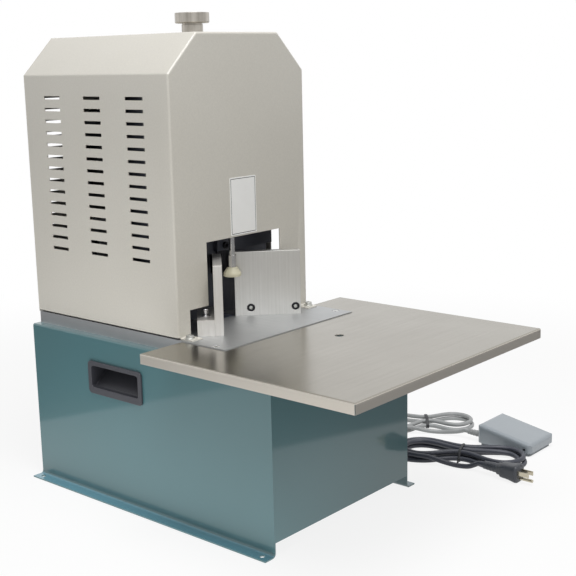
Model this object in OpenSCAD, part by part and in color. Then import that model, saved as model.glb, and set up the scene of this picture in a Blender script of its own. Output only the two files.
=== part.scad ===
// Electric corner rounder: a foot-switched bench press that rounds the corners of a paper stack.
// Millimetres. x runs left to right, y front to back, z up from the floor.

/* [Cabinet] */
// Width over the side walls
base_w = 290; // [280:1:310]
// Depth, front to back
base_d = 470; // [450:1:520]
// Height of the folded top
base_h = 235; // [215:1:280]
// Sheet thickness
base_sheet = 2; // [1.5:0.1:3]
// Foot flange beyond the side wall
foot_flange = 18; // [15:0.5:26]
// Bolt hole in the foot flange
foot_hole_d = 7; // [5:0.5:8]
// Foot hole from the end of the flange
foot_hole_inset = 13; // [10:0.5:20]
// Gap under the front panel
toe_gap = 19; // [8:1:40]
// Inward lip along the front panel
top_lip = 27; // [24:0.5:32]
// Side lip under the bed plate
lip_under = 14; // [12:0.5:20]
// Outer radius of the top fold
fold_r = 3; // [2.2:0.1:5]
// Inner radius of the bend at the foot
foot_bend = 4; // [2:0.5:4.5]

/* [Side pulls] */
// Length of the bezel
pull_l = 111; // [100:1:125]
// Height of the bezel
pull_h = 47; // [42:1:52]
// Width of the bezel rim
pull_rim = 7; // [5:0.5:9]
// Height of the pull's lower lip
pull_lip = 9.5; // [6:0.5:12]
// Depth of the finger cup
pull_depth = 30; // [24:1:36]
// Middle of the pull behind the middle of the cabinet
pull_y = 53.5; // [40:0.5:70]
// Middle of the pull below the cabinet top
pull_drop = 58.5; // [45:0.5:70]

/* [Bed and table] */
// Bed plate width
bed_w = 264; // [250:1:272]
// Bed plate thickness
bed_t = 17; // [15:0.5:22]
// Bed plate in front of the hood
bed_apron = 84; // [76:1:95]
// Tray width
table_w = 410; // [380:1:460]
// Tray depth
table_d = 341; // [300:1:380]
// Folded edge of the tray
table_lip = 13.6; // [11:0.1:14]
// Tray sheet thickness
table_sheet = 1.5; // [1.2:0.1:2]
// Tray top below the bed plate top
table_drop = 1.2; // [0.8:0.1:4]
// Hole in the tray
table_hole_d = 12.5; // [8:0.5:16]
// Open seam at a folded corner of the tray
table_seam = 0.9; // [0.6:0.1:1.5]

/* [Hood] */
// Side in from the side of the bed plate
hood_step = 0; // [0:0.5:3]
// Depth
hood_d = 298; // [294:1:305]
// Height of the upright side
hood_side_h = 344; // [338:1:365]
// Rise of the sloped shoulder
hood_rise = 52; // [48:0.5:56]
// Half width of the flat top
hood_flat = 79; // [76:0.5:84]
// Sheet thickness
hood_sheet = 1.5; // [1.2:0.1:2]
// Width of the front opening
mouth_w = 148; // [142:1:156]
// Height of the front opening
mouth_h = 122; // [116:1:128]
// Width of the low part of the opening
mouth_foot_w = 218; // [214:1:222]
// Height of the low part of the opening
mouth_foot_h = 36; // [30:1:42]
// Vent slot length
vent_l = 35; // [28:1:42]
// Vent slot height
vent_h = 4.5; // [3:0.5:6]
// Vent column pitch
vent_pitch_y = 85.5; // [75:0.5:90]
// Vent row pitch
vent_pitch_z = 16.4; // [14:0.1:17]
// Offcut window in the right wall, front to back
window_l = 50; // [40:1:56]
// Gap under the hood's sides
hood_gap = 2.2; // [0.8:0.1:3]

/* [Guides] */
// Length of a guide plate
guide_l = 94; // [88:1:98]
// Height of the right guide plate
guide_h = 93; // [85:1:94]
// Height of the left guide plate
left_guide_h = 95; // [90:1:97]
// Thickness of a guide plate
guide_t = 12; // [10:0.5:12.5]
// Meeting point of the guide faces behind the hood front
guide_apex = 47; // [46:0.5:48]
// Start of a plate from the meeting point
guide_start = 18.6; // [18:0.1:22]
// Foot block width
guide_foot_w = 23; // [20:0.5:25]
// Foot block height
guide_foot_h = 22; // [20:0.5:24]
// Corner radius that the knife cuts
corner_r = 6; // [3.5:0.5:8]

/* [Press] */
// Stroke of the ram
stroke = 64.5; // [60:0.5:65]
// Upright in from the hood wall
press_gap = 12.5; // [9:0.5:16]
// Width of a gib beside the ram
gib_w = 11; // [9:0.5:13]
// Thickness of the ram yoke
ram_t = 21; // [20:0.5:22]
// Ram bottom above the bed
ram_lift = 93.5; // [93:0.5:96]
// Shaft height above the bed
shaft_z = 219; // [218:0.5:222]
// Camshaft diameter
shaft_d = 25; // [20:0.5:26]
// Least pitch radius of the heart cam
cam_r = 30; // [29:0.5:31]
// Cam roller diameter
roller_d = 24; // [22:0.5:25]
// Flywheel diameter
wheel_d = 150; // [140:1:156]
// Motor body diameter
motor_d = 120; // [105:1:124]
// Presser pad diameter
pad_d = 25; // [21:0.5:26]
// Presser rod diameter
rod_d = 9; // [7:0.5:10]
// Hood knob diameter
knob_d = 47.5; // [42:0.5:58]

/* [Pedal and cords] */
// Pedal width
pedal_w = 76; // [70:1:80]
// Pedal length
pedal_l = 95; // [90:1:104]
// Pedal height at the cord end
pedal_high = 37; // [34:0.5:42]
// Pedal height at the low end
pedal_low = 20; // [19:0.5:23]
// Edge radius on the pedal top
pedal_edge = 6.5; // [4:0.5:7]
// Mains cord diameter
mains_d = 7.5; // [6.5:0.1:7.8]
// Pedal cord diameter
pedal_cord_d = 6.8; // [5.8:0.1:7]

/* [Hidden] */
$fn = 64;

// screws, diameter and head
m6 = 6;
m6_head = 10;
washer_d = 13;
washer_t = 1.4;

// clearances
slip = 0.1;
run_fit = 0.05;
side_gap = 0.4;
roll_gap = 0.3;

// main planes
bx = base_w / 2;
by = base_d / 2;
bed_top = base_h + bed_t;
bed_back = by - base_sheet;
hood_back = by;
hood_front = by - hood_d;
bed_front = hood_front - bed_apron;
table_back = hood_front - 5;
table_front = table_back - table_d;
table_top = bed_top - table_drop;
hx = bed_w / 2 - hood_step;
lip_x = bed_w / 2 - lip_under;
hood_low = bed_top + hood_gap;
hood_side = bed_top + hood_side_h;
hood_top_z = hood_side + hood_rise;
apex = hood_front + guide_apex;

// press planes, measured from the guide meeting point
ram_front = apex - 2;
ram_back = ram_front + ram_t;
up_front = ram_back + side_gap;
upright_t = 36.6;
up_back = up_front + upright_t;
up_half = hx - hood_sheet - press_gap;
ram_half = up_half - gib_w;
bolt_x = up_half - 28;
bolt_y = up_front + upright_t / 2;
up_top = hood_flat - 15;
ram_low = bed_top + ram_lift;
shaft_h = bed_top + shaft_z;
cam_far = cam_r + stroke;
roller_low = shaft_h - cam_r;
roller_high = shaft_h + cam_far;
roller_r = roller_d / 2;
yoke_low = roller_low - roller_r - 1;
yoke_high = roller_high + roller_r + 1;
ram_high = yoke_high + 26;
cam_y0 = ram_front + 3;
cam_y1 = ram_back - 3;
cam_rise = stroke / PI;
knife_front = apex - corner_r * sqrt(0.5);
knife_back = apex + 10;
knife_half = 11;
knife_low = bed_top + stroke - 1;
pad_low = bed_top + stroke - 2.6;
pad_h = 13;
pad_rim = 4.5;
pad_neck = 14;
presser_y = apex - 22;
wheel_y0 = by - 30;
wheel_y1 = by - 5;
quill_y1 = wheel_y0 - 35;
bearing_r = shaft_d / 2 + 13.5;
bearing_w = 15;
quill_r = bearing_r + 12;
flange_r = quill_r + 17;
flange_t = 10;
flange_bolt_r = quill_r + 7;
motor_z = bed_top + motor_d / 2 + 6;
motor_y0 = up_back + 22;
motor_y1 = wheel_y0 - 17;
groove_w = 10.8;
groove_y = (wheel_y0 + wheel_y1) / 2;
wheel_groove = wheel_d / 2 - 9;
pulley_r = 31;
pulley_groove = 22;
spindle_r = 7;
knob_y = up_front + 20;
knob_low = hood_top_z + 0.1;

// cord routes, along the middle of each cord on the floor
gland_x = bx + 34;
mains_r = mains_d / 2;
pc_r = pedal_cord_d / 2;
mains_start = [gland_x, 95, 45];
pedal_start = [gland_x, 150, 45];
mains_c = [294, -233];
mains_a = -70;
mains_run = 62;
mains_fold = 24;
mains_turns = 3;
mains_waist = 5;
pedal_c = [388, -106];
pedal_a = -49;
pedal_run = 46;
pedal_fold = 25;
pedal_turns = 2;
pedal_waist = 4.6;
plug_tail = [262, -293, 13.5];
pedal_x = 358;
pedal_y = -316;
pedal_gland = [pedal_x + 19, pedal_y + pedal_l + 26, 13];

// helpers
function arc(c, r, a0, a1, n) =
  [for (i = [0 : n]) let (a = a0 + (a1 - a0) * i / n) [c[0] + r * cos(a), c[1] + r * sin(a)]];

module along_y(y0, y1) {
  translate([0, y1, 0]) rotate([90, 0, 0]) linear_extrude(y1 - y0) children();
}

module along_x(x0, x1) {
  translate([x0, 0, 0]) rotate([90, 0, 90]) linear_extrude(x1 - x0) children();
}

module rect(x0, y0, x1, y1) {
  translate([x0, y0]) square([x1 - x0, y1 - y0]);
}

module rrect(x0, y0, x1, y1, r) {
  rect(x0 + r, y0, x1 - r, y1);
  rect(x0, y0 + r, x1, y1 - r);
  for (x = [x0 + r, x1 - r], y = [y0 + r, y1 - r]) translate([x, y]) circle(r);
}

module box(a, b) {
  translate(a) cube(b - a);
}

module both() {
  children();
  mirror([1, 0, 0]) children();
}

// a rod along y
module rod_y(x, z, r, y0, y1) {
  translate([x, y0, z]) rotate([-90, 0, 0]) cylinder(r = r, h = y1 - y0);
}

// a socket screw standing along z, head up, seat at the origin
module cap_screw(d, head_d, head_h, len) {
  difference() {
    union() {
      cylinder(d = head_d, h = head_h);
      translate([0, 0, -len]) cylinder(d = d, h = len);
    }
    translate([0, 0, head_h * 0.45]) cylinder(d = d * 0.92, h = head_h, $fn = 6);
  }
}

// cabinet
module side_profile() {
  bend = [bx + foot_bend, base_sheet + foot_bend];
  polygon(concat([[bx + foot_flange, 0], [bx + foot_flange, base_sheet]],
    arc(bend, foot_bend, 270, 180, 6),
    arc([bx - fold_r, base_h - fold_r], fold_r, 0, 90, 6),
    [[lip_x, base_h], [lip_x, base_h - base_sheet], [bx - base_sheet, base_h - base_sheet]],
    arc(bend, foot_bend + base_sheet, 180, 270, 6)));
}

module side_wall() {
  difference() {
    along_y(-by, by) side_profile();
    for (s = [-1, 1]) translate([bx + foot_flange / 2, s * (by - foot_hole_inset), -1])
      cylinder(d = foot_hole_d, h = base_sheet + 2);
    along_x(bx - 10, bx + 5)
      rect(pull_y0 + pull_cut, pull_z0 + pull_cut, pull_y1 - pull_cut, pull_z1 - pull_cut);
    for (y = bed_screw_y) translate([bed_screw_x, y, base_h - 5]) cylinder(d = m6 + 2 * slip, h = 10);
  }
}
pull_cut = 4;
pull_bezel = 3;
pull_corner = 6;
pull_y0 = pull_y - pull_l / 2;
pull_y1 = pull_y + pull_l / 2;
pull_z0 = base_h - pull_drop - pull_h / 2;
pull_z1 = base_h - pull_drop + pull_h / 2;

module cabinet_left_side() {
  color("#5f7c7e") mirror([1, 0, 0]) side_wall();
}

module cabinet_right_side() {
  color("#5f7c7e") difference() {
    side_wall();
    for (p = [mains_start, pedal_start]) translate([bx - 5, p[1], p[2]]) rotate([0, 90, 0])
      cylinder(d = 12 + 2 * slip, h = 8);
  }
}

module front_profile() {
  polygon(concat([[-by + base_sheet, toe_gap], [-by + base_sheet, base_h - base_sheet],
    [-by + top_lip, base_h - base_sheet], [-by + top_lip, base_h]],
    arc([-by + fold_r, base_h - fold_r], fold_r, 90, 180, 6), [[-by, toe_gap]]));
}

module cabinet_front() {
  color("#5f7c7e") {
    along_x(-lip_x, lip_x) front_profile();
    both() box([lip_x, -by, toe_gap], [bx - base_sheet, -by + base_sheet, base_h - base_sheet]);
  }
}

module cabinet_back() {
  color("#5f7c7e")
    {
      box([-bx + base_sheet, by - base_sheet, 0], [bx - base_sheet, by, base_h - base_sheet]);
      box([-lip_x, by - base_sheet, 1], [lip_x, by, base_h]);
    }
}

// recessed pull: bezel outside the wall, cup with a sloped floor inside
module pull() {
  in0 = pull_y0 + pull_rim;
  in1 = pull_y1 - pull_rim;
  low = pull_z0 + pull_lip;
  high = pull_z1 - pull_rim + 1;
  deep = bx - pull_depth;
  cup = pull_cut + 2 * slip;
  difference() {
    union() {
      along_x(bx, bx + pull_bezel) rrect(pull_y0, pull_z0, pull_y1, pull_z1, pull_corner);
      along_x(deep, bx) rect(pull_y0 + cup, pull_z0 + cup, pull_y1 - cup, pull_z1 - cup);
    }
    intersection() {
      along_x(deep - 1, bx + 5) rrect(in0, low, in1, high, 4);
      along_y(in0 - 1, in1 + 1) polygon([[bx + 4, low - 1], [bx + 4, high + 1], [deep + 2, high + 1],
        [deep + 2, high - 11], [bx - 3, low]]);
    }
  }
}

module left_pull() {
  color("#26272b") mirror([1, 0, 0]) pull();
}

module right_pull() {
  color("#26272b") pull();
}

// bed plate, set in screws, die
bed_screw_x = bed_w / 2 - 8;
bed_screw_y = [bed_front + 23, by - 35];
die_x = 20;
die_y0 = apex - 9;
die_y1 = apex + 21;

module guide_frame() {
  translate([0, apex, bed_top]) rotate([0, 0, -45]) children();
}

clamp_u = 87;
clamp_n = guide_t + guide_foot_w / 2;

module bed_plate() {
  color("#a4a4a4") difference() {
    box([-bed_w / 2, bed_front, base_h], [bed_w / 2, bed_back, bed_top]);
    both() {
      for (y = bed_screw_y) translate([bed_screw_x, y, base_h - 1]) {
        cylinder(d = m6 + 2 * slip, h = bed_t + 2);
        translate([0, 0, bed_t - 4]) cylinder(d = m6_head + 4 * slip, h = 8);
      }
      guide_frame() translate([clamp_u, clamp_n, -15]) cylinder(d = m6 + 2 * slip, h = 20);
      translate([bolt_x, bolt_y, base_h - 1]) cylinder(d = 10 + 2 * slip, h = bed_t + 2);
      translate([tab_x, tab_y, bed_top - 14]) cylinder(d = m6 + 2 * slip, h = 20);
    }
    box([-die_x, die_y0, bed_top - 12], [die_x, die_y1, bed_top + 1]);
    box([-die_x + 4, die_y0 + 3, base_h - 1], [die_x - 4, die_y1 - 4, bed_top]);
  }
}

module bed_screws() {
  color("#8f8f8c") both() for (y = bed_screw_y) translate([bed_screw_x, y, bed_top - 5])
    cap_screw(m6, m6_head, 4.5, bed_t - 1);
}

module knife_shape(gap) {
  difference() {
    rect(-knife_half - gap, knife_front - gap, knife_half + gap, knife_back + gap);
    translate([0, apex - corner_r * sqrt(2)]) circle(corner_r - gap);
  }
}

module die_block() {
  color("#2c2c2e") difference() {
    box([-die_x + slip, die_y0 + slip, bed_top - 12], [die_x - slip, die_y1 - slip, bed_top - 0.4]);
    translate([0, 0, base_h]) linear_extrude(bed_t + 1) knife_shape(0.15);
  }
}

// tray with folded edges, notched round the bed plate
module tray(inset, top) {
  r = 2.4 - inset * 0.8;
  x = table_w / 2 - inset;
  y0 = table_front + inset;
  y1 = table_back - inset;
  low = table_top - table_lip - inset;
  intersection() {
    along_y(y0, y1) polygon(concat([[-x, low], [x, low]], arc([x - r, top - r], r, 0, 90, 5),
      arc([-x + r, top - r], r, 90, 180, 5)));
    along_x(-x, x) polygon(concat([[y0, low], [y1, low]], arc([y1 - r, top - r], r, 0, 90, 5),
      arc([y0 + r, top - r], r, 90, 180, 5)));
  }
}

module table() {
  color("#b4b0a8") difference() {
    tray(0, table_top);
    tray(table_sheet, table_top - table_sheet);
    box([-bed_w / 2 - 1, bed_front - 1, 0], [bed_w / 2 + 1, table_back + 5, table_top + 5]);
    translate([16, table_front + 194, table_top - 5]) cylinder(d = table_hole_d, h = 10);
    for (s = [-1, 1], y = [table_front, table_back]) tray_seam(s, y, y == table_front ? -45 : 45);
  }
}

// folded corners are left open, along the corner's own diagonal
module tray_seam(s, y, a) {
  translate([s * table_w / 2, y, table_top - table_lip - table_sheet - 1]) rotate([0, 0, s * a])
    translate([-4, -table_seam / 2, 0]) cube([8, table_seam, table_lip + 1]);
}

rail_x = lip_x - 23;
rail_w = 12;
rail_end = 14;

module table_rails() {
  color("#6d7071") both()
    box([rail_x, table_front + rail_end, base_h], [rail_x + rail_w, bed_front - 3, table_top - table_sheet]);
}

// hood
tab = 22;
tab_t = 1.5;
tab_x = hx - 10;
tab_y = hood_front - tab / 2;
slope = hood_rise / (hx - hood_flat);
slope_len = norm([hood_rise, hx - hood_flat]);
in_c = hood_side - hood_sheet * slope_len / (hx - hood_flat) + hood_sheet * slope;
in_seam = in_c + (hx - hood_sheet - hood_flat) * slope;
in_top = hood_top_z - hood_sheet;
in_meet = hx - hood_sheet - (in_top - in_c) / slope;

vent_rows = 14;
vent_top = hood_side - 31;
vent_back = hood_back - 61;
window_top = bed_top + mouth_h - 2;
rows_over_window = floor((vent_top - window_top - vent_h) / vent_pitch_z);

// three columns, the front one with its own number of rows
module vents(front_rows) {
  for (i = [0 : 2], j = [0 : (i == 2 ? front_rows : vent_rows) - 1])
    translate([vent_back - i * vent_pitch_y, vent_top - j * vent_pitch_z])
      square([vent_l, vent_h], center = true);
}

module hood_side_panel(front_rows) {
  difference() {
    along_y(hood_front + hood_sheet, hood_back - hood_sheet) polygon([[hx, hood_low], [hx, hood_side],
      [hood_flat, hood_top_z], [hood_flat, in_seam], [hx - hood_sheet, in_c],
      [hx - hood_sheet, hood_low]]);
    along_x(hx - 8, hx + 3) vents(front_rows);
  }
}

module hood_left_side() {
  color("#b1ada2") mirror([1, 0, 0]) hood_side_panel(vent_rows);
}

module hood_right_side() {
  color("#b1ada2") difference() {
    hood_side_panel(rows_over_window);
    along_x(hx - 6, hx + 3)
      rrect(hood_front + 18, bed_top + 3, hood_front + 18 + window_l, window_top, 4);
  }
}

module hood_top() {
  color("#b1ada2") difference() {
    along_y(hood_front + hood_sheet, hood_back - hood_sheet) polygon([[hood_flat, hood_top_z],
      [-hood_flat, hood_top_z], [-hood_flat, in_seam], [-in_meet, in_top], [in_meet, in_top],
      [hood_flat, in_seam]]);
    translate([0, knob_y, in_top - 5]) cylinder(d = 13, h = 20);
  }
}

module hood_front() {
  color("#b1ada2") difference() {
    union() {
      along_y(hood_front, hood_front + hood_sheet) polygon([[hx, bed_top], [hx, hood_side],
        [hood_flat, hood_top_z], [-hood_flat, hood_top_z], [-hx, hood_side], [-hx, bed_top]]);
      both() box([hx - tab, hood_front - tab, bed_top], [hx, hood_front + hood_sheet, bed_top + tab_t]);
    }
    along_y(hood_front - 5, hood_front + 5) {
      rect(-mouth_w / 2, bed_top - 5, mouth_w / 2, bed_top + mouth_h);
      rect(-mouth_foot_w / 2, bed_top - 5, mouth_foot_w / 2, bed_top + mouth_foot_h);
    }
    both() translate([tab_x, tab_y, bed_top - 1]) cylinder(d = m6 + 1, h = 5);
  }
}

// back sheet: a column of vents each side of the flywheel, a little lower than those in the walls
back_vent_x = vent_pitch_y;
back_vent_drop = 4.5;

module hood_back() {
  color("#b1ada2") difference() {
    along_y(hood_back - hood_sheet, hood_back) polygon([[hx, bed_top], [hx, hood_side],
      [hood_flat, hood_top_z], [-hood_flat, hood_top_z], [-hx, hood_side], [-hx, bed_top]]);
    along_y(hood_back - 5, hood_back + 5)
      for (x = [-back_vent_x, back_vent_x], j = [0 : vent_rows - 1])
        translate([x, vent_top - back_vent_drop - j * vent_pitch_z]) square([vent_l, vent_h], center = true);
  }
}

module hood_screws() {
  color("#9a9a96") both() translate([tab_x, tab_y, bed_top + tab_t]) {
    cylinder(d = washer_d, h = washer_t);
    translate([0, 0, washer_t]) cap_screw(m6, m6_head, 4, 12);
  }
}

// guides
guide_end = guide_start + guide_l;
guide_u = [guide_start + 22.4, guide_end - 7.6];
guide_screw_z = guide_foot_h * 0.52;

module guide_bores(d0, d1) {
  for (u = guide_u) translate([u, 0, guide_screw_z]) rotate([-90, 0, 0]) {
    translate([0, 0, -1]) cylinder(d = d1, h = 7.5);
    cylinder(d = d0, h = guide_t + 16);
  }
}

module guide_plate(h) {
  guide_frame() difference() {
    box([guide_start, 0, 0], [guide_end, guide_t, h]);
    guide_bores(6.6, 11.5);
  }
}

module guide_foot() {
  guide_frame() difference() {
    box([guide_start + 10, guide_t, 0], [guide_end, guide_t + guide_foot_w, guide_foot_h]);
    guide_bores(m6 + 2 * slip, m6);
    translate([clamp_u, clamp_n, -1]) cylinder(d = 6.6, h = guide_foot_h + 2);
  }
}

module right_guide() {
  color("#adaba7") guide_plate(guide_h);
}

module left_guide() {
  color("#adaba7") mirror([1, 0, 0]) guide_plate(left_guide_h);
}

module right_guide_foot() {
  color("#a5a4a0") guide_foot();
}

module left_guide_foot() {
  color("#a5a4a0") mirror([1, 0, 0]) guide_foot();
}

module guide_screws() {
  color("#242426") both() guide_frame() for (u = guide_u) translate([u, 6.5, guide_screw_z])
    rotate([90, 0, 0]) cap_screw(m6, m6_head, m6, guide_t + 8);
}

module clamp_screws() {
  color("#b9b8b4") both() guide_frame() translate([clamp_u, clamp_n, guide_foot_h]) {
    cylinder(d = washer_d, h = washer_t);
    translate([0, 0, washer_t]) cap_screw(m6, m6_head, m6, guide_foot_h + 12);
  }
}

// press frame
module upright() {
  top = in_top - 6;
  color("#2b2c2e") difference() {
    along_y(up_front, up_back) polygon([[up_half, bed_top], [up_half, hood_side - 8], [up_top, top],
      [-up_top, top], [-up_half, hood_side - 8], [-up_half, bed_top]]);
    rod_y(0, shaft_h, bearing_r + 5, up_front - 1, up_back + 1);
    both() translate([bolt_x, bolt_y, bed_top - 1]) cylinder(d = 10 + 2 * slip, h = 31);
    both() for (z = gib_z) rod_y(ram_half + gib_w / 2, z, 3 + slip, up_front - 1, up_front + 18);
    translate([0, knob_y, top - 22]) cylinder(d = 12 + 4 * slip, h = 30);
    for (a = [45 : 90 : 315]) translate([flange_bolt_r * cos(a), 0, flange_bolt_r * sin(a)])
      rod_y(0, shaft_h, 4 + slip, up_back - 16, up_back + 1);
  }
}

module upright_bolts() {
  color("#3a3a3c") {
    both() translate([bolt_x, bolt_y, base_h]) mirror([0, 0, 1]) cap_screw(10, 16, 8, bed_t + 26);
    for (a = [45 : 90 : 315])
      translate([flange_bolt_r * cos(a), up_back + flange_t, shaft_h + flange_bolt_r * sin(a)])
      rotate([-90, 0, 0]) cap_screw(8, 13, 7, 24);
  }
}

gib_low = ram_low + 40;
gib_high = hood_side - 12;
gib_z = [gib_low + 20, (gib_low + gib_high) / 2, gib_high - 20];

module gib() {
  difference() {
    union() {
      box([ram_half + side_gap, ram_front - side_gap, gib_low], [up_half, up_front, gib_high]);
      box([ram_half - 9, ram_front - side_gap - 8, gib_low], [up_half, ram_front - side_gap, gib_high]);
    }
    for (z = gib_z) rod_y(ram_half + gib_w / 2, z, 3 + slip, ram_front - 20, up_front + 1);
  }
}

module left_gib() {
  color("#6f7072") mirror([1, 0, 0]) gib();
}

module right_gib() {
  color("#6f7072") gib();
}

module gib_screws() {
  color("#333335") both() for (z = gib_z)
    translate([ram_half + gib_w / 2, ram_front - side_gap - 8, z]) rotate([90, 0, 0])
    cap_screw(m6, m6_head, m6, ram_t + 24);
}

module bearing_housing() {
  color("#4b4d50") difference() {
    union() {
      rod_y(0, shaft_h, flange_r, up_back, up_back + flange_t);
      rod_y(0, shaft_h, quill_r, up_back + flange_t, quill_y1);
    }
    rod_y(0, shaft_h, bearing_r, up_back - 1, quill_y1 + 1);
    for (a = [45 : 90 : 315]) translate([flange_bolt_r * cos(a), 0, flange_bolt_r * sin(a)])
      rod_y(0, shaft_h, 4 + slip, up_back - 1, up_back + flange_t + 1);
  }
}

module bearing_ring(y) {
  difference() {
    rod_y(0, shaft_h, bearing_r - run_fit, y, y + bearing_w);
    rod_y(0, shaft_h, shaft_d / 2 + run_fit, y - 1, y + bearing_w + 1);
    difference() {
      rod_y(0, shaft_h, bearing_r - 4, y + bearing_w - 2, y + bearing_w + 1);
      rod_y(0, shaft_h, shaft_d / 2 + 4, y + bearing_w - 3, y + bearing_w + 2);
    }
  }
}

module shaft_bearings() {
  color("#b4b6b8") {
    bearing_ring(up_back + 4);
    bearing_ring(quill_y1 - bearing_w);
  }
}

module motor() {
  r = motor_d / 2;
  bell = r * 0.4;
  fin = r * 0.1;
  foot_end = bell + fin;
  web_end = foot_end + 4;
  box_w = r * 0.4;
  can_r = r * 0.37;
  can_x = -r * 0.77;
  color("#38393b") difference() {
    union() {
      translate([0, motor_y1 - bell, motor_z]) rotate([90, 0, 0])
        linear_extrude(motor_y1 - motor_y0 - 2 * bell) {
          circle(r - fin);
          for (a = [0 : 12 : 348]) rotate(a) rect(r - 2 * fin, -1, r, 1);
        }
      rod_y(0, motor_z, r - fin / 3, motor_y0, motor_y0 + bell);
      rod_y(0, motor_z, r - fin / 3, motor_y1 - bell, motor_y1);
      box([-r + fin, motor_y0 + foot_end, bed_top], [r - fin, motor_y1 - foot_end, bed_top + 2 * fin]);
      box([-r + box_w, motor_y0 + web_end, bed_top + fin], [r - box_w, motor_y1 - web_end, motor_z]);
      box([r - 2 * fin, motor_y0 + web_end, motor_z], [r + box_w, motor_y1 - web_end, motor_z + 2 * box_w]);
      rod_y(can_x, motor_z - 1.2 * can_x, can_r, motor_y0 + bell, motor_y1 - fin);
    }
    rod_y(0, motor_z, spindle_r + run_fit, motor_y1 - 2 * fin, motor_y1 + 1);
    for (a = [0 : 30 : 330]) rotate_about(a) rod_y(r * 0.62, motor_z, 4, motor_y0 - 1, motor_y0 + 3);
  }
}

module rotate_about(a) {
  translate([0, 0, motor_z]) rotate([0, a, 0]) translate([0, 0, -motor_z]) children();
}

// belt round the flywheel and the motor pulley
module belt_shape(r1, r2) {
  lean = asin((r1 - r2) / (shaft_h - motor_z));
  polygon(concat(arc([0, shaft_h], r1, -lean, 180 + lean, 48),
    arc([0, motor_z], r2, 180 + lean, 360 - lean, 20)));
}

module drive_belt() {
  color("#2a2a2a") along_y(groove_y - 5, groove_y + 5) difference() {
    belt_shape(wheel_groove + 7, pulley_groove + 7);
    belt_shape(wheel_groove + roll_gap, pulley_groove + roll_gap);
  }
}

module camshaft() {
  color("#c3c4c4") {
    rod_y(0, shaft_h, shaft_d / 2, cam_y0, wheel_y1 + 1);
    rod_y(0, shaft_h, shaft_d / 2 - 2, wheel_y1 + 1, wheel_y1 + 2.5);
  }
}

// heart cam: the roller path grows evenly with the turn, the profile lies one roller radius inside
cam_roll = roller_r + roll_gap;
function pitch_r(t) = cam_r + cam_rise * t * PI / 180;
function cam_pt(t) =
  let (r = pitch_r(t), l = norm([r, cam_rise]), f = 1 - cam_roll / l)
  [r * f * sin(t) + cam_roll * cam_rise / l * cos(t), -r * f * cos(t) + cam_roll * cam_rise / l * sin(t)];
cam_right = [for (i = [0 : 60]) cam_pt(i * 2.955)];
cam_left = [for (i = [60 : -1 : 0]) [-cam_right[i][0], cam_right[i][1]]];
seat_a = atan2(cam_r, cam_rise);
cam_seat = [for (i = [1 : 7]) let (a = 180 - seat_a - (180 - 2 * seat_a) * i / 8)
  [cam_roll * cos(a), cam_roll * sin(a) - cam_r]];

module heart_cam() {
  color("#8d9092") difference() {
    along_y(cam_y0, cam_y1) translate([0, shaft_h]) polygon(concat(cam_right, cam_left, cam_seat));
    rod_y(0, shaft_h, shaft_d / 2 + run_fit, cam_y0 - 1, cam_y1 + 1);
  }
}

module flywheel() {
  r = wheel_d / 2;
  hub = shaft_d / 2 + 14;
  rim = r - 18;
  hole_r = (rim - hub) * 0.36;
  w = wheel_y1 - wheel_y0;
  g0 = (w - groove_w) / 2;
  color("#303133") difference() {
    translate([0, wheel_y0, shaft_h]) rotate([-90, 0, 0]) rotate_extrude() polygon([
      [shaft_d / 2 + run_fit, 0], [hub, 0], [hub, 8], [rim, 8], [rim, 0], [r, 0], [r, g0],
      [wheel_groove, g0], [wheel_groove, g0 + groove_w], [r, g0 + groove_w], [r, w], [rim, w],
      [rim, w - 8], [hub, w - 8], [hub, w], [shaft_d / 2 + run_fit, w]]);
    for (a = [18 : 72 : 306]) translate([(rim + hub) / 2 * cos(a), 0, (rim + hub) / 2 * sin(a)])
      rod_y(0, shaft_h, hole_r, wheel_y0 - 1, wheel_y1 + 1);
  }
}

module motor_pulley() {
  w = wheel_y1 - wheel_y0;
  g0 = (w - groove_w) / 2;
  color("#54565a") {
    rod_y(0, motor_z, spindle_r, motor_y1 - 11, wheel_y0 + 1);
    translate([0, wheel_y0, motor_z]) rotate([-90, 0, 0]) rotate_extrude() polygon([[0, 0],
      [pulley_r, 0], [pulley_r, g0], [pulley_groove, g0], [pulley_groove, g0 + groove_w],
      [pulley_r, g0 + groove_w], [pulley_r, w], [0, w]]);
  }
}

// ram
module ram_yoke() {
  half = cam_far - roller_r + 2.5;
  color("#28292b") difference() {
    box([-ram_half, ram_front, ram_low], [ram_half, ram_back, ram_high]);
    along_y(ram_front - 1, ram_back + 1) rrect(-half, yoke_low, half, yoke_high, 8);
    box([-knife_half - slip, ram_front - 1, ram_low - 1], [knife_half + slip, knife_back, ram_low + 60]);
    for (z = knife_screw_z) rod_y(0, z, 3 + slip, knife_back - 1, knife_back + 8);
    for (x = [-5, 5]) rod_y(x, bracket_low + 14, 2.5 + slip, ram_front - 1, knife_back + 7.6);
    both() for (z = [yoke_low - 12, yoke_high + 12])
      rod_y(plate_screw_x, z, 2.5 + slip, ram_front - 1, ram_front + 12);
  }
}

plate_t = 6;
plate_screw_x = 9;

module roller_plate(z_axis, z0, z1, z_screw) {
  difference() {
    union() {
      box([-17, ram_front - plate_t, z0], [17, ram_front, z1]);
      rod_y(0, z_axis, 5, ram_front - 1, cam_y1 + 1);
      both() rod_y(plate_screw_x, z_screw, 2.5, ram_front - 1, ram_front + 10);
      both() rod_y(plate_screw_x, z_screw, 4.5, ram_front - plate_t - 4, ram_front - plate_t + 1);
      rod_y(0, z_axis, 8, ram_front - 1, cam_y0 - 0.4);
    }
    both() translate([plate_screw_x, ram_front - plate_t - 2, z_screw]) rotate([90, 0, 0])
      cylinder(d = 4.6, h = 5, $fn = 6);
  }
}

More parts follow.
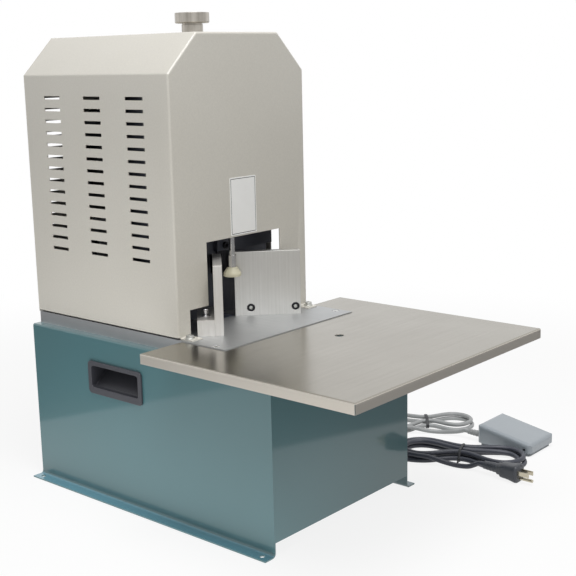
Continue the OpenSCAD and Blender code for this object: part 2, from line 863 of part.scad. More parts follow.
module roller_plates() {
  color("#5d5f62") {
    roller_plate(roller_low, yoke_low - 19, roller_low + 11, yoke_low - 12);
    roller_plate(roller_high, roller_high - 11, yoke_high + 20, yoke_high + 12);
  }
}

module roller(z) {
  difference() {
    rod_y(0, z, roller_r, cam_y0, cam_y1);
    rod_y(0, z, 5 + run_fit, cam_y0 - 1, cam_y1 + 1);
  }
}

module upper_roller() {
  color("#b9bbbc") roller(roller_high);
}

module lower_roller() {
  color("#b9bbbc") roller(roller_low);
}

module knife() {
  color("#a9abad") difference() {
    translate([0, 0, knife_low]) linear_extrude(ram_low + 58 - knife_low) knife_shape(0);
    box([-knife_half - 1, knife_front - 1, bracket_low - 0.2],
      [knife_half + 1, ram_front, ram_low + 70]);
    for (x = [-5, 5]) rod_y(x, bracket_low + 14, 2.5 + slip, knife_front - 1, knife_back + 1);
    for (z = knife_screw_z) rod_y(0, z, 3 + slip, knife_front - 1, knife_back + 1);
  }
}

// clamp over the knife, narrow enough to pass between the guide ends
clamp_t = 5;
clamp_half = guide_start * sqrt(2) - (apex - knife_front) - clamp_t - 2;
knife_screw_z = [ram_low + 11, ram_low + 26];

module knife_clamp() {
  color("#3a3b3d") difference() {
    union() {
      box([-clamp_half, knife_front - clamp_t, ram_low + 4], [clamp_half, knife_front, bracket_low - 1]);
      both() box([knife_half + 1, knife_front - 1, ram_low + 4], [clamp_half, ram_front, bracket_low - 1]);
    }
    for (z = knife_screw_z) rod_y(0, z, 3 + slip, knife_front - clamp_t - 3, ram_front + 1);
  }
}

module knife_screws() {
  color("#232325") for (z = knife_screw_z) translate([0, knife_front - clamp_t, z])
    rotate([90, 0, 0]) cap_screw(m6, m6_head, 4, knife_back + 7 - knife_front + clamp_t);
}

// sprung presser
bracket_low = ram_low + 34;
bracket_high = bracket_low + 27;

module presser_bracket() {
  color("#3a3b3d") difference() {
    union() {
      box([-11, presser_y - 11, bracket_low], [11, ram_front, bracket_high]);
      for (x = [-5, 5]) rod_y(x, bracket_low + 14, 2.5, ram_front - 1, knife_back + 7);
    }
    translate([0, presser_y, bracket_low - 1]) cylinder(d = rod_d + 2 * run_fit, h = 40);
  }
}

module presser_rod() {
  color("#c9c9c6") translate([0, presser_y, 0]) {
    translate([0, 0, pad_low + 5]) cylinder(d = rod_d, h = bracket_high + 16 - pad_low - 5);
    translate([0, 0, pad_low + pad_h]) cylinder(d = rod_d + 3, h = 17);
    translate([0, 0, bracket_high + 0.3]) cylinder(d = rod_d + 6, h = 6, $fn = 6);
  }
}

module presser_pad() {
  color("#c2c0a8") translate([0, presser_y, pad_low]) difference() {
    union() {
      cylinder(d = pad_d, h = pad_rim);
      translate([0, 0, pad_rim]) cylinder(d1 = pad_d - 2, d2 = pad_neck, h = pad_h - pad_rim);
    }
    translate([0, 0, 5]) cylinder(d = rod_d + 2 * run_fit, h = pad_h);
  }
}

// knurled knob that holds the hood down on the upright
module hood_knob() {
  r = knob_d / 2;
  n = 60;
  color("#a7a199") translate([0, knob_y, knob_low]) {
    cylinder(d = 12, h = 16);
    translate([0, 0, -26]) cylinder(d = 12, h = 27);
    cylinder(d = knob_d * 0.62, h = 14);
    translate([0, 0, 14]) cylinder(d1 = knob_d - 3, d2 = knob_d - 1.6, h = 1.5);
    translate([0, 0, 15]) linear_extrude(12) polygon([for (i = [0 : 2 * n - 1])
      let (q = r - (i % 2) * 0.9) [q * cos(i * 180 / n), q * sin(i * 180 / n)]]);
    translate([0, 0, 26.5]) cylinder(d1 = knob_d - 2, d2 = knob_d - 4.5, h = 1.6);
  }
}

// pedal
pedal_mid = pedal_x + pedal_w / 2;
pin_y = pedal_y + 11;
pin_z = 11;

pedal_rise = (pedal_high - pedal_low) / pedal_l;
pedal_tilt = atan(pedal_rise);

// the plan, the side view and the cross-section along the slope, each with its own round corners
module pedal_wedge(inset, low) {
  r = pedal_edge - inset * 0.8;
  x0 = pedal_x + inset;
  x1 = pedal_x + pedal_w - inset;
  y0 = pedal_y + inset;
  y1 = pedal_y + pedal_l - inset;
  top = pedal_low - inset;
  function round_mid(y) = [y, top + pedal_rise * (y - pedal_y) - r / cos(pedal_tilt)];
  intersection() {
    translate([0, 0, low]) linear_extrude(pedal_high) rrect(x0, y0, x1, y1, 8 - inset);
    along_x(x0, x1) polygon(concat([[y0, low], [y1, low]],
      arc(round_mid(y1 - r), r, 0, 90 + pedal_tilt, 6), arc(round_mid(y0 + r), r, 90 + pedal_tilt, 180, 6)));
    translate([0, pedal_y, top]) rotate([pedal_tilt, 0, 0]) along_y(-20, pedal_l + 20)
      rrect(x0, -pedal_high - 20, x1, 0, r);
  }
}

module pedal_treadle() {
  color("#aeb3b7") difference() {
    pedal_wedge(0, 6);
    pedal_wedge(3, 5);
    translate([pedal_x - 1, pin_y, pin_z]) rotate([0, 90, 0]) cylinder(d = 5 + 2 * run_fit, h = pedal_w + 2);
    box([pedal_gland[0] - 9, pedal_y + pedal_l - 5, 0], [pedal_gland[0] + 9, pedal_y + pedal_l + 1, 26]);
  }
}

module pedal_base() {
  in = 4.2;
  color("#8f9498") difference() {
    union() {
      linear_extrude(5) rrect(pedal_x + in, pedal_y + in, pedal_x + pedal_w - in,
        pedal_y + pedal_l - in, 5);
      both_ears() box([pedal_x + in, pin_y - 5, 4], [pedal_x + in + 5, pin_y + 5, 15]);
      box([pedal_mid - 15, pedal_y + 40, 4], [pedal_mid + 15, pedal_y + 76, 20]);
      box([pedal_gland[0] - 7, pedal_y + pedal_l - in - 8, 4],
        [pedal_gland[0] + 7, pedal_y + pedal_l - in, 21]);
    }
    translate([pedal_x - 1, pin_y, pin_z]) rotate([0, 90, 0]) cylinder(d = 5 + 2 * run_fit, h = pedal_w + 2);
  }
}

module both_ears() {
  children();
  translate([2 * pedal_mid, 0, 0]) mirror([1, 0, 0]) children();
}

module pedal_pin() {
  color("#9b9d9f") translate([pedal_x + 0.5, pin_y, pin_z]) rotate([0, 90, 0])
    cylinder(d = 5, h = pedal_w - 1);
}

// glands and bend reliefs
module gland(d, len, stub) {
  translate([0, 0, -stub]) cylinder(d = 12, h = stub + 1);
  cylinder(d = 20, h = 5);
  translate([0, 0, 5]) cylinder(d1 = 13.5, d2 = d + 2, h = len - 5);
}

module cord_glands() {
  color("#232427") {
    translate([bx, mains_start[1], mains_start[2]]) rotate([0, 90, 0]) gland(mains_d, gland_x - bx, 5);
    translate([bx, pedal_start[1], pedal_start[2]]) rotate([0, 90, 0])
      gland(pedal_cord_d, gland_x - bx, 5);
    translate([pedal_gland[0], pedal_y + pedal_l - 4.2, pedal_gland[2]]) rotate([-90, 0, 0])
      cylinder(d1 = 13, d2 = pedal_cord_d + 2, h = 30.2);
  }
}

// a tube through a list of points, one ring of n sides per point
function unit(v) = v / norm(v);
function heading(p, i) = unit(p[min(i + 1, len(p) - 1)] - p[max(i - 1, 0)]);
function ring(p, i, r, n) =
  let (h = heading(p, i), s = unit(cross(h, abs(h[2]) > 0.9 ? [0, 1, 0] : [0, 0, 1])), u = cross(s, h))
  [for (k = [0 : n - 1]) p[i] + r * (cos(k * 360 / n) * s + sin(k * 360 / n) * u)];

module tube(p, r, n) {
  m = len(p);
  pts = [for (i = [0 : m - 1]) each ring(p, i, r, n)];
  sides = [for (i = [0 : m - 2], k = [0 : n - 1]) let (a = i * n + k, b = i * n + (k + 1) % n)
    each [[a, b, b + n], [a, b + n, a + n]]];
  caps = [for (k = [1 : n - 2]) each [[0, k + 1, k], [(m - 1) * n, (m - 1) * n + k, (m - 1) * n + k + 1]]];
  polyhedron(pts, concat(sides, caps));
}

// smooth curve through hand-set points, cut in even steps
function spline_pt(p, i, t) =
  let (a = i == 0 ? 2 * p[0] - p[1] : p[i - 1], b = p[i], c = p[i + 1],
    d = i + 2 < len(p) ? p[i + 2] : 2 * p[i + 1] - p[i])
  0.5 * (2 * b + (c - a) * t + (2 * a - 5 * b + 4 * c - d) * t * t + (3 * b - a - 3 * c + d) * t * t * t);
function spline(p, n) =
  concat([for (i = [0 : len(p) - 2], k = [0 : n - 1]) spline_pt(p, i, k / n)], [p[len(p) - 1]]);

// a hank: loops drawn in at the waist, spiralling in and out again in two layers
function hank_pt(t, run, fold, waist, turns, step, r) =
  let (half = turns / 2, s = abs(t - half), q = (t - floor(t)) * 4, k = floor(q), f = q - k,
    rad = fold + step * s, draw = fold - waist,
    up = t < half - 0.25 ? 0 : t > half + 0.25 ? 1 : (t - half + 0.25) * 2,
    ease = up * up * (3 - 2 * up), in = pow(sin(180 * f), 2),
    z = r + ease * (2 * r + 0.8) + (k % 2 == 0 ? 2.2 * in : 0),
    turn = (k == 1 ? -90 : 90) + 180 * f)
  k == 0 ? [-run + 2 * run * f, -rad + draw * in, z]
  : k == 1 ? [run + rad * cos(turn), rad * sin(turn), z]
  : k == 2 ? [run - 2 * run * f, rad - draw * in, z]
  : [-run + rad * cos(turn), rad * sin(turn), z];
function place(q, c, a) = [c[0] + q[0] * cos(a) - q[1] * sin(a), c[1] + q[0] * sin(a) + q[1] * cos(a), q[2]];
function hank(c, a, run, fold, waist, turns, step, r) =
  [for (i = [0 : turns * 28]) let (t = min(i / 28, turns - 0.00001))
    place(hank_pt(t, run, fold, waist, turns, step, r), c, a)];
function least_gap(p, d) =
  min([for (i = [0 : len(p) - 1], j = [0 : len(p) - 1]) if (j > i + 6) norm(p[i] - p[j])]) - d;

mains_step = mains_d * 1.17;
pedal_step = pedal_cord_d * 1.22;
mains_loops = hank(mains_c, mains_a, mains_run, mains_fold, mains_waist, mains_turns, mains_step, mains_r);
pedal_loops = hank(pedal_c, pedal_a, pedal_run, pedal_fold, pedal_waist, pedal_turns, pedal_step, pc_r);
echo(least_gap_mains = least_gap(mains_loops, mains_d));
echo(least_gap_pedal = least_gap(pedal_loops, pedal_cord_d));

mains_end = mains_loops[len(mains_loops) - 1];
pedal_end = pedal_loops[len(pedal_loops) - 1];
function mains_local(x, y, z) = place([x, y, z], mains_c, mains_a);
function pedal_local(x, y, z) = place([x, y, z], pedal_c, pedal_a);
mains_lead_pts = [mains_start, mains_start + [10, 0, 0], [212, 90, 38], [230, 74, 22], [238, 48, 9],
  [238, 15, mains_r], [232, -30, mains_r], [224, -75, mains_r], [221, -120, mains_r],
  [229, -163, mains_r], mains_loops[0]];
mains_tail_pts = [mains_end, mains_local(-42, -38.5, 11.5), mains_local(-22, -40, 7.5),
  mains_local(0, -40, mains_r), mains_local(20, -42, 5), plug_tail + [0, 10, 0], plug_tail];
pedal_lead_pts = [pedal_start, pedal_start + [10, 0, 0], [214, 146, 38], [238, 134, 20], [256, 112, 8],
  [268, 82, pc_r], [276, 40, pc_r], [284, -5, pc_r], [298, -45, pc_r], [316, -74, pc_r],
  pedal_loops[0]];
pedal_tail_pts = [pedal_end, pedal_local(-26, -34.5, 10), pedal_local(-4, -35.5, 5),
  pedal_local(18, -39, pc_r), pedal_gland + [0, 22, -5], pedal_gland + [0, 8, 0], pedal_gland];

module mains_lead() {
  color("#3a3d45") tube(spline(mains_lead_pts, 4), mains_r, 8);
}

module mains_hank() {
  color("#3a3d45") tube(mains_loops, mains_r, 6);
}

module mains_tail() {
  color("#3a3d45") tube(spline(mains_tail_pts, 4), mains_r, 8);
}

module pedal_lead() {
  color("#7e8286") tube(spline(pedal_lead_pts, 4), pc_r, 8);
}

module pedal_hank() {
  color("#7e8286") tube(pedal_loops, pc_r, 6);
}

module pedal_tail() {
  color("#7e8286") tube(spline(pedal_tail_pts, 4), pc_r, 8);
}

module tie(c, a, waist, step, turns, r) {
  y0 = -(waist + step * (turns / 2 - 0.125)) - r - 1.8;
  y1 = waist + step * (turns / 2 - 0.375) + r + 1.8;
  z1 = 2.5 + 4 * r + 0.8;
  translate([c[0], c[1], 0]) rotate([0, 0, a]) along_x(-3, 3) difference() {
    rrect(y0 - 1.5, 0.4, y1 + 1.5, z1 + 1.5, 4.5);
    rrect(y0, 1.9, y1, z1, 3);
  }
}

module cord_ties() {
  color("#1d1d1f") {
    tie(mains_c, mains_a, mains_waist, mains_step, mains_turns, mains_r);
    tie(pedal_c, pedal_a, pedal_waist, pedal_step, pedal_turns, pc_r);
  }
}

// three-pin plug, lying on the floor, pins to the front
module plug_body() {
  y0 = plug_tail[1] - 24;
  z = plug_tail[2];
  color("#2e3034") {
    translate([plug_tail[0], plug_tail[1], z]) rotate([90, 0, 0]) cylinder(d1 = mains_d + 2, d2 = 14, h = 24);
    for (i = [1 : 4]) translate([plug_tail[0], plug_tail[1] - 2 - i * 4, z]) rotate([90, 0, 0])
      cylinder(d = 10.5 + i, h = 2);
    translate([plug_tail[0], y0 + 0.5, z]) rotate([90, 0, 0]) cylinder(d1 = 15, d2 = 25, h = 12.5);
    translate([plug_tail[0], y0 - 12, z]) rotate([90, 0, 0]) linear_extrude(22)
      rrect(-13.5, -13.5, 13.5, 13.5, 8);
  }
}

module plug_prongs() {
  y1 = plug_tail[1] - 58;
  z = plug_tail[2];
  color("#b3ab93") {
    for (s = [-1, 1]) box([plug_tail[0] + s * 6.35 - 0.8, y1 - 18, z - 1],
      [plug_tail[0] + s * 6.35 + 0.8, y1, z + 5.4]);
    translate([plug_tail[0], y1, z - 7]) rotate([90, 0, 0]) cylinder(d = 4.8, h = 21);
  }
}

cabinet_left_side();
cabinet_right_side();
cabinet_front();
cabinet_back();
left_pull();
right_pull();
bed_plate();
bed_screws();
table();
table_rails();
hood_left_side();
hood_right_side();
hood_top();
hood_front();
hood_back();
hood_screws();
left_guide();
right_guide();
left_guide_foot();
right_guide_foot();
guide_screws();
clamp_screws();
die_block();
upright();
upright_bolts();
left_gib();
right_gib();
gib_screws();
bearing_housing();
shaft_bearings();
motor();
drive_belt();
camshaft();
heart_cam();
flywheel();
motor_pulley();
ram_yoke();
roller_plates();
upper_roller();
lower_roller();
knife();
knife_clamp();
knife_screws();
presser_bracket();
presser_rod();
presser_pad();
hood_knob();
pedal_base();
pedal_treadle();
pedal_pin();
cord_glands();
mains_lead();
mains_hank();
mains_tail();
plug_body();
plug_prongs();
pedal_lead();
pedal_hank();
pedal_tail();
cord_ties();
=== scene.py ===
import math

import bmesh
import bpy
from mathutils import Matrix, Vector


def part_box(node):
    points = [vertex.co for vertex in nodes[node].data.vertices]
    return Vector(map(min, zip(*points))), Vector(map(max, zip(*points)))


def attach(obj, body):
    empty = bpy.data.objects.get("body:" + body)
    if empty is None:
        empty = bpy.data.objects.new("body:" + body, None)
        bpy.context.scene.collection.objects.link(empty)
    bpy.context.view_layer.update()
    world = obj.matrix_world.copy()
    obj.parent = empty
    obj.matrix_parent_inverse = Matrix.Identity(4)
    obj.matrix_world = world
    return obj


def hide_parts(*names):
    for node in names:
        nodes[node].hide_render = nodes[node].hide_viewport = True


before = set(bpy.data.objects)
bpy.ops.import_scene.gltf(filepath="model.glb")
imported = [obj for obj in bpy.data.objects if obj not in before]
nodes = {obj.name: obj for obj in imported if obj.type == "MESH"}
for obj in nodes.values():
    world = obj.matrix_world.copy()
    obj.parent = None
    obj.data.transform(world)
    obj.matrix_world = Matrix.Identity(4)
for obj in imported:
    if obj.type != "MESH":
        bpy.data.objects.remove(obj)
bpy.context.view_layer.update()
scene = bpy.context.scene
scene.view_settings.view_transform = "Standard"
mm = 0.001
hairMm = 0.01  # closer than this counts as touching
turnSteps = 48  # points round a turned or moulded section


# sRGB hex to the linear colour that shader sockets take
def hexLinear(text):
    parts = [int(text[i:i + 2], 16) / 255 for i in (1, 3, 5)]
    return tuple(c / 12.92 if c <= 0.04045 else ((c + 0.055) / 1.055) ** 2.4 for c in parts) + (1.0,)


# one shader node with its settings and links; a key is an attribute, a socket name or a socket number
def addNode(mat, kind, settings=None, links=None):
    made = mat.node_tree.nodes.new(kind)
    for key, value in (settings or {}).items():
        if isinstance(key, str) and key not in made.inputs and hasattr(made, key):
            setattr(made, key, value)
        else:
            made.inputs[key].default_value = value
    for key, source in (links or {}).items():
        mat.node_tree.links.new(source, made.inputs[key])
    return made


# a finish with its shader set, the object's own coordinates and noise of each size and detail hung on them
def newFinish(name, settings, patterns):
    mat = bpy.data.materials.new(name)
    mat.use_nodes = True
    shader = mat.node_tree.nodes["Principled BSDF"]
    for key, value in settings.items():
        shader.inputs[key].default_value = value
    where = addNode(mat, "ShaderNodeTexCoord").outputs["Object"]
    noise = [addNode(mat, "ShaderNodeTexNoise", {"Scale": 1 / (sizeMm * mm), "Detail": detail},
                     {"Vector": where}).outputs["Fac"] for sizeMm, detail in patterns]
    return mat, shader, where, noise


def feed(mat, shader, links):
    for key, source in links.items():
        mat.node_tree.links.new(source, shader.inputs[key])


# colour, gloss and height of a finish, each led by a pattern and joined to its shader
def joinSkin(mat, shader, m, toneBy, roughBy, heightBy, depthMm):
    tone = addNode(mat, "ShaderNodeMix",
                   {"data_type": "RGBA", 6: hexLinear(m["colour"]), 7: hexLinear(m["shade"])}, {0: toneBy})
    rough = addNode(mat, "ShaderNodeMapRange", {"To Min": m["rough"][0], "To Max": m["rough"][1]},
                    {"Value": roughBy})
    bump = addNode(mat, "ShaderNodeBump", {"Strength": m["bump"], "Distance": depthMm * mm},
                   {"Height": heightBy})
    feed(mat, shader, {"Base Color": tone.outputs[2], "Roughness": rough.outputs[0],
                       "Normal": bump.outputs[0]})
    return tone.outputs[2], rough.outputs[0]


# camera: fitted to the straight edges of the machine in the photo
photoCamera = {
    "place": (-1.0993, -1.0928, 0.6130),
    "right": (0.65536464, -0.75497789, -0.02248515),
    "forward": (0.73719808, 0.64584422, -0.19855535),
    "lens": 68.97, "sensor": 36.0, "shift": (0.011, -0.012), "clip": (0.05, 30.0),
}


def placeCamera(cam):
    data = bpy.data.cameras.new("photoCamera")
    data.lens, data.sensor_width = cam["lens"], cam["sensor"]
    data.shift_x, data.shift_y = cam["shift"]
    data.clip_start, data.clip_end = cam["clip"]
    obj = bpy.data.objects.new("photoCamera", data)
    scene.collection.objects.link(obj)
    right, ahead = Vector(cam["right"]).normalized(), Vector(cam["forward"]).normalized()
    up = right.cross(ahead)
    turn = Matrix((right, up, -ahead)).transposed()
    obj.matrix_world = Matrix.Translation(cam["place"]) @ turn.to_4x4()
    scene.camera = obj


placeCamera(photoCamera)
print("camera placed")


# studio: white table top that keeps a soft shadow, one large overhead softbox, a low fill from the sky;
# past the table's edge the floor stays white to the eye, but lights and mirrors as a darker room
studio = {
    "floorColour": "#f4f4f3", "floorHalf": 8.0, "floorDrop": 0.0004, "floorGlow": 0.86,
    "glowFrom": 0.75, "glowTo": 1.5, "skyFill": 0.235,
    "tableHalf": (1.25, 0.5), "tableTurn": -20.0, "tableEdge": (1.01, 1.06), "roomTone": "#868789",
    "bounce": 3.1, "bounceShare": 0.8, "bounceMiddle": (-0.5, -0.05), "bounceReach": (0.15, 0.8),
    "keyPlace": (-0.47, -0.86, 2.5), "keyAim": (0.0, -0.05, 0.3), "keySize": 1.7, "keyPower": 61.5,
}


# 1 where the eye, a mirror or glass looks at the surface, 0 where the surface only lights
def seenRays(mat):
    ray = addNode(mat, "ShaderNodeLightPath")
    seen = addNode(mat, "ShaderNodeMath", {"operation": "MAXIMUM"},
                   {0: ray.outputs["Is Camera Ray"], 1: ray.outputs["Is Glossy Ray"]})
    seenToo = addNode(mat, "ShaderNodeMath", {"operation": "MAXIMUM"},
                      {0: seen.outputs[0], 1: ray.outputs["Is Transmission Ray"]})
    return ray, seenToo.outputs[0]


def buildFloor(s):
    half = s["floorHalf"]
    mesh = bpy.data.meshes.new("studioFloor")
    corners = [(-half, -half, 0), (half, -half, 0), (half, half, 0), (-half, half, 0)]
    mesh.from_pydata(corners, [], [(0, 1, 2, 3)])
    floor = bpy.data.objects.new("studioFloor", mesh)
    floor.location.z = -s["floorDrop"]
    scene.collection.objects.link(floor)
    # matt seamless paper: even white, shadow only where the machine stands
    mat = bpy.data.materials.new("studioPaper")
    mat.use_nodes = True
    mat.node_tree.nodes.clear()
    ray, seen = seenRays(mat)
    place = addNode(mat, "ShaderNodeNewGeometry").outputs["Position"]
    turned = addNode(mat, "ShaderNodeVectorRotate",
                     {"rotation_type": "Z_AXIS", "Angle": math.radians(s["tableTurn"])}, {"Vector": place})
    spot = addNode(mat, "ShaderNodeVectorMath", {"operation": "ABSOLUTE"}, {0: turned.outputs[0]})
    span = addNode(mat, "ShaderNodeVectorMath", {"operation": "DIVIDE", 1: (*s["tableHalf"], 1)},
                   {0: spot.outputs[0]})
    parts = addNode(mat, "ShaderNodeSeparateXYZ", None, {0: span.outputs[0]})
    over = addNode(mat, "ShaderNodeMath", {"operation": "MAXIMUM"},
                   {0: parts.outputs["X"], 1: parts.outputs["Y"]})
    past = addNode(mat, "ShaderNodeMapRange",
                   {"interpolation_type": "SMOOTHSTEP", "From Min": s["tableEdge"][0],
                    "From Max": s["tableEdge"][1]}, {"Value": over.outputs[0]})
    unseen = addNode(mat, "ShaderNodeMath", {"operation": "SUBTRACT", 0: 1.0},
                     {1: ray.outputs["Is Camera Ray"]})
    dim = addNode(mat, "ShaderNodeMath", {"operation": "MULTIPLY"},
                  {0: past.outputs[0], 1: unseen.outputs[0]}).outputs[0]
    room = hexLinear(s["roomTone"])
    paperTone = addNode(mat, "ShaderNodeMix",
                        {"data_type": "RGBA", 6: hexLinear(s["floorColour"]), 7: room}, {0: dim})
    glowTone = addNode(mat, "ShaderNodeMix", {"data_type": "RGBA", 6: (1, 1, 1, 1), 7: room}, {0: dim})
    paper = addNode(mat, "ShaderNodeBsdfDiffuse", None, {"Color": paperTone.outputs[2]})
    level = addNode(mat, "ShaderNodeMapRange", {"To Min": s["bounce"], "To Max": 1.0}, {"Value": seen})
    glow = addNode(mat, "ShaderNodeEmission", None,
                   {"Color": glowTone.outputs[2], "Strength": level.outputs[0]})
    reach = addNode(mat, "ShaderNodeVectorMath", {"operation": "LENGTH"}, {0: place})
    fade = addNode(mat, "ShaderNodeMapRange",
                   {"interpolation_type": "SMOOTHSTEP", "From Min": s["glowFrom"], "From Max": s["glowTo"],
                    "To Min": s["floorGlow"], "To Max": 1.0}, {"Value": reach.outputs["Value"]})
    # round bounceMiddle the table glows for the rays that only light: a fill standing in for bounce off an
    # overexposed white floor
    away = addNode(mat, "ShaderNodeVectorMath", {"operation": "DISTANCE", 1: (*s["bounceMiddle"], 0)},
                   {0: place})
    onTable = addNode(mat, "ShaderNodeMapRange",
                      {"interpolation_type": "SMOOTHSTEP", "From Min": s["bounceReach"][0],
                       "From Max": s["bounceReach"][1], "To Min": s["bounceShare"], "To Max": 0.0},
                      {"Value": away.outputs["Value"]})
    share = addNode(mat, "ShaderNodeMix", None, {0: seen, 2: onTable.outputs[0], 3: fade.outputs[0]})
    both = addNode(mat, "ShaderNodeMixShader", None,
                   {0: share.outputs[0], 1: paper.outputs[0], 2: glow.outputs[0]})
    addNode(mat, "ShaderNodeOutputMaterial", None, {"Surface": both.outputs[0]})
    mesh.materials.append(mat)


def buildLight(s):
    world = bpy.data.worlds.new("studioSky")
    scene.world = world
    world.use_nodes = True
    world.node_tree.nodes.clear()
    level = addNode(world, "ShaderNodeMapRange", {"To Min": s["skyFill"], "To Max": 1.0},
                    {"Value": seenRays(world)[1]})
    sky = addNode(world, "ShaderNodeBackground", {"Color": (1, 1, 1, 1)}, {"Strength": level.outputs[0]})
    addNode(world, "ShaderNodeOutputWorld", None, {"Surface": sky.outputs[0]})

    data = bpy.data.lights.new("keySoftbox", "AREA")
    data.shape, data.size, data.energy = "SQUARE", s["keySize"], s["keyPower"]
    lamp = bpy.data.objects.new("keySoftbox", data)
    lamp.location = s["keyPlace"]
    aim = Vector(s["keyAim"]) - Vector(s["keyPlace"])
    lamp.rotation_euler = aim.to_track_quat("-Z", "Y").to_euler()
    scene.collection.objects.link(lamp)


buildFloor(studio)
buildLight(studio)
print("studio built")


# finishes
# powder coat on steel sheet, sprayed and baked: dull satin, pin-point grain, very soft clouds of shade
def greigePowderCoat(p):
    # the real grain is about 0.4 mm; drawn coarser so that it shows
    mat, shader, _, (cloud, grain) = newFinish(
        "greigePowderCoat", {"Roughness": 0.5, "IOR": 1.5, "Coat Weight": 0.7, "Coat Roughness": 0.16},
        ((p["cloudMm"], 3.0), (p["grainMm"], 2.0)))
    tone = joinSkin(mat, shader, p, cloud, grain, grain, 0.08)[0]
    fleck = addNode(mat, "ShaderNodeMapRange",
                    {"From Min": 0.3, "From Max": 0.7, "To Min": 0.97, "To Max": 1.03}, {"Value": grain})
    colour = addNode(mat, "ShaderNodeMix", {"data_type": "RGBA", "blend_type": "MULTIPLY", 0: 1.0},
                     {6: tone, 7: fleck.outputs[0]})
    feed(mat, shader, {"Base Color": colour.outputs[2]})
    return mat


# stoved enamel over rolled sheet: wet gloss with a faint orange peel, bluer and deeper in slow clouds
def tealStovedEnamel(e):
    mat, shader, where, (cloud, peel) = newFinish(
        "tealStovedEnamel", {"Roughness": 0.3, "IOR": 1.45, "Coat Weight": 0.9, "Coat Roughness": 0.07,
                             "Coat IOR": 1.48}, ((e["cloudMm"], 3.0), (e["peelMm"], 1.5)))
    tone = joinSkin(mat, shader, e, cloud, cloud, peel, 0.12)[0]
    # painted reflection: up-facing faces low on the cabinet, the foot flanges, get a paler, bluer colour that
    # stands in for what they mirror
    facing = addNode(mat, "ShaderNodeSeparateXYZ", None,
                     {0: addNode(mat, "ShaderNodeNewGeometry").outputs["Normal"]})
    flat = addNode(mat, "ShaderNodeMapRange", {"From Min": 0.6, "From Max": 0.95},
                   {"Value": facing.outputs["Z"]})
    height = addNode(mat, "ShaderNodeSeparateXYZ", None, {0: where})
    foot = addNode(mat, "ShaderNodeMath", {"operation": "LESS_THAN", 1: e["footMm"] * mm},
                   {0: height.outputs["Z"]})
    footReflectionMask = addNode(mat, "ShaderNodeMath", {"operation": "MULTIPLY"},
                     {0: flat.outputs[0], 1: foot.outputs[0]})
    coat = addNode(mat, "ShaderNodeMix", {"data_type": "RGBA", 7: hexLinear(e["flat"])},
                   {0: footReflectionMask.outputs[0], 6: tone})
    feed(mat, shader, {"Base Color": coat.outputs[2]})
    return mat


# a machined metal face with lines one way: drawn-out noise shifts colour, gloss and height together
def linedMetal(m):
    mat, shader, where, (cloud,) = newFinish(m["name"], {"Metallic": 1.0, "Roughness": m["rough"][0]},
                                             ((m["cloudMm"], 4.0),))
    lay = addNode(mat, "ShaderNodeMapping", {"Scale": tuple(1 / (s * mm) for s in m["lineMm"])},
                  {"Vector": where})
    lines = addNode(mat, "ShaderNodeTexNoise", {"Scale": 1.0, "Detail": 3.0, "Roughness": 0.6},
                    {"Vector": lay.outputs[0]}).outputs["Fac"]
    mixed = addNode(mat, "ShaderNodeMix", {0: 0.4}, {2: lines, 3: cloud})
    spread = addNode(mat, "ShaderNodeMapRange", {"From Min": 0.32, "From Max": 0.68},
                     {"Value": mixed.outputs[0]}).outputs[0]
    tone, rough = joinSkin(mat, shader, m, spread, spread, lines, 0.05)
    if "lip" in m:  # folded edges: not polished, so duller than the top; their paler colour is painted light, for the light the lips catch
        facing = addNode(mat, "ShaderNodeSeparateXYZ", None,
                         {0: addNode(mat, "ShaderNodeNewGeometry").outputs["Normal"]})
        level = addNode(mat, "ShaderNodeMath", {"operation": "ABSOLUTE"}, {0: facing.outputs["Z"]})
        lip = addNode(mat, "ShaderNodeMapRange",
                      {"From Min": 0.3, "From Max": 0.7, "To Min": 1.0, "To Max": 0.0},
                      {"Value": level.outputs[0]}).outputs[0]
        lipPaintedLight = addNode(mat, "ShaderNodeMix", {"data_type": "RGBA", 7: hexLinear(m["lip"])}, {0: lip, 6: tone})
        dull = addNode(mat, "ShaderNodeMix", {3: m["lipRough"]}, {0: lip, 2: rough})
        feed(mat, shader, {"Base Color": lipPaintedLight.outputs[2], "Roughness": dull.outputs[0]})
    return mat


# plated or blackened small steel parts: even skin, slight mottling, softened by handling
def platedSteel(m):
    mat, shader, _, (spots,) = newFinish(m["name"], {"Metallic": 1.0, "Roughness": m["rough"][0]},
                                         ((m["spotMm"], 4.0),))
    joinSkin(mat, shader, m | {"bump": 0.08}, spots, spots, spots, 0.04)
    return mat


# brushed or sprayed paint on castings and plate inside: satin, sand-cast pimples, dusty high spots
def machinePaint(m):
    mat, shader, _, (sand, cloud) = newFinish(
        m["name"], {"Roughness": 0.45, "IOR": 1.5, "Coat Weight": m.get("coat", 0.0), "Coat Roughness": 0.12},
        ((m["sandMm"], 3.0), (m["cloudMm"], 3.0)))
    joinSkin(mat, shader, m, cloud, sand, sand, 0.2)
    return mat


# moulded plastic or rubber: spark-eroded grain from the mould, rubbed smoother where hands go
def mouldedPolymer(m):
    mat, shader, where, (cloud,) = newFinish(m["name"], {"Roughness": m["rough"][0], "IOR": m["ior"]},
                                             ((m["cloudMm"], 4.0),))
    grain = addNode(mat, "ShaderNodeTexVoronoi", {"Scale": 1 / (m["grainMm"] * mm)}, {"Vector": where})
    joinSkin(mat, shader, m, cloud, cloud, grain.outputs["Distance"], 0.08)
    return mat


# soft PVC cord sheath, extruded: dull sheen, slight dust in clouds
def softPvc(m):
    mat, shader, _, (cloud, grain) = newFinish(
        m["name"], {"Roughness": 0.42, "IOR": 1.53, "Specular IOR Level": 0.5},
        ((m["cloudMm"], 4.0), (m["grainMm"], 2.0)))
    joinSkin(mat, shader, m, cloud, cloud, grain, 0.05)
    return mat


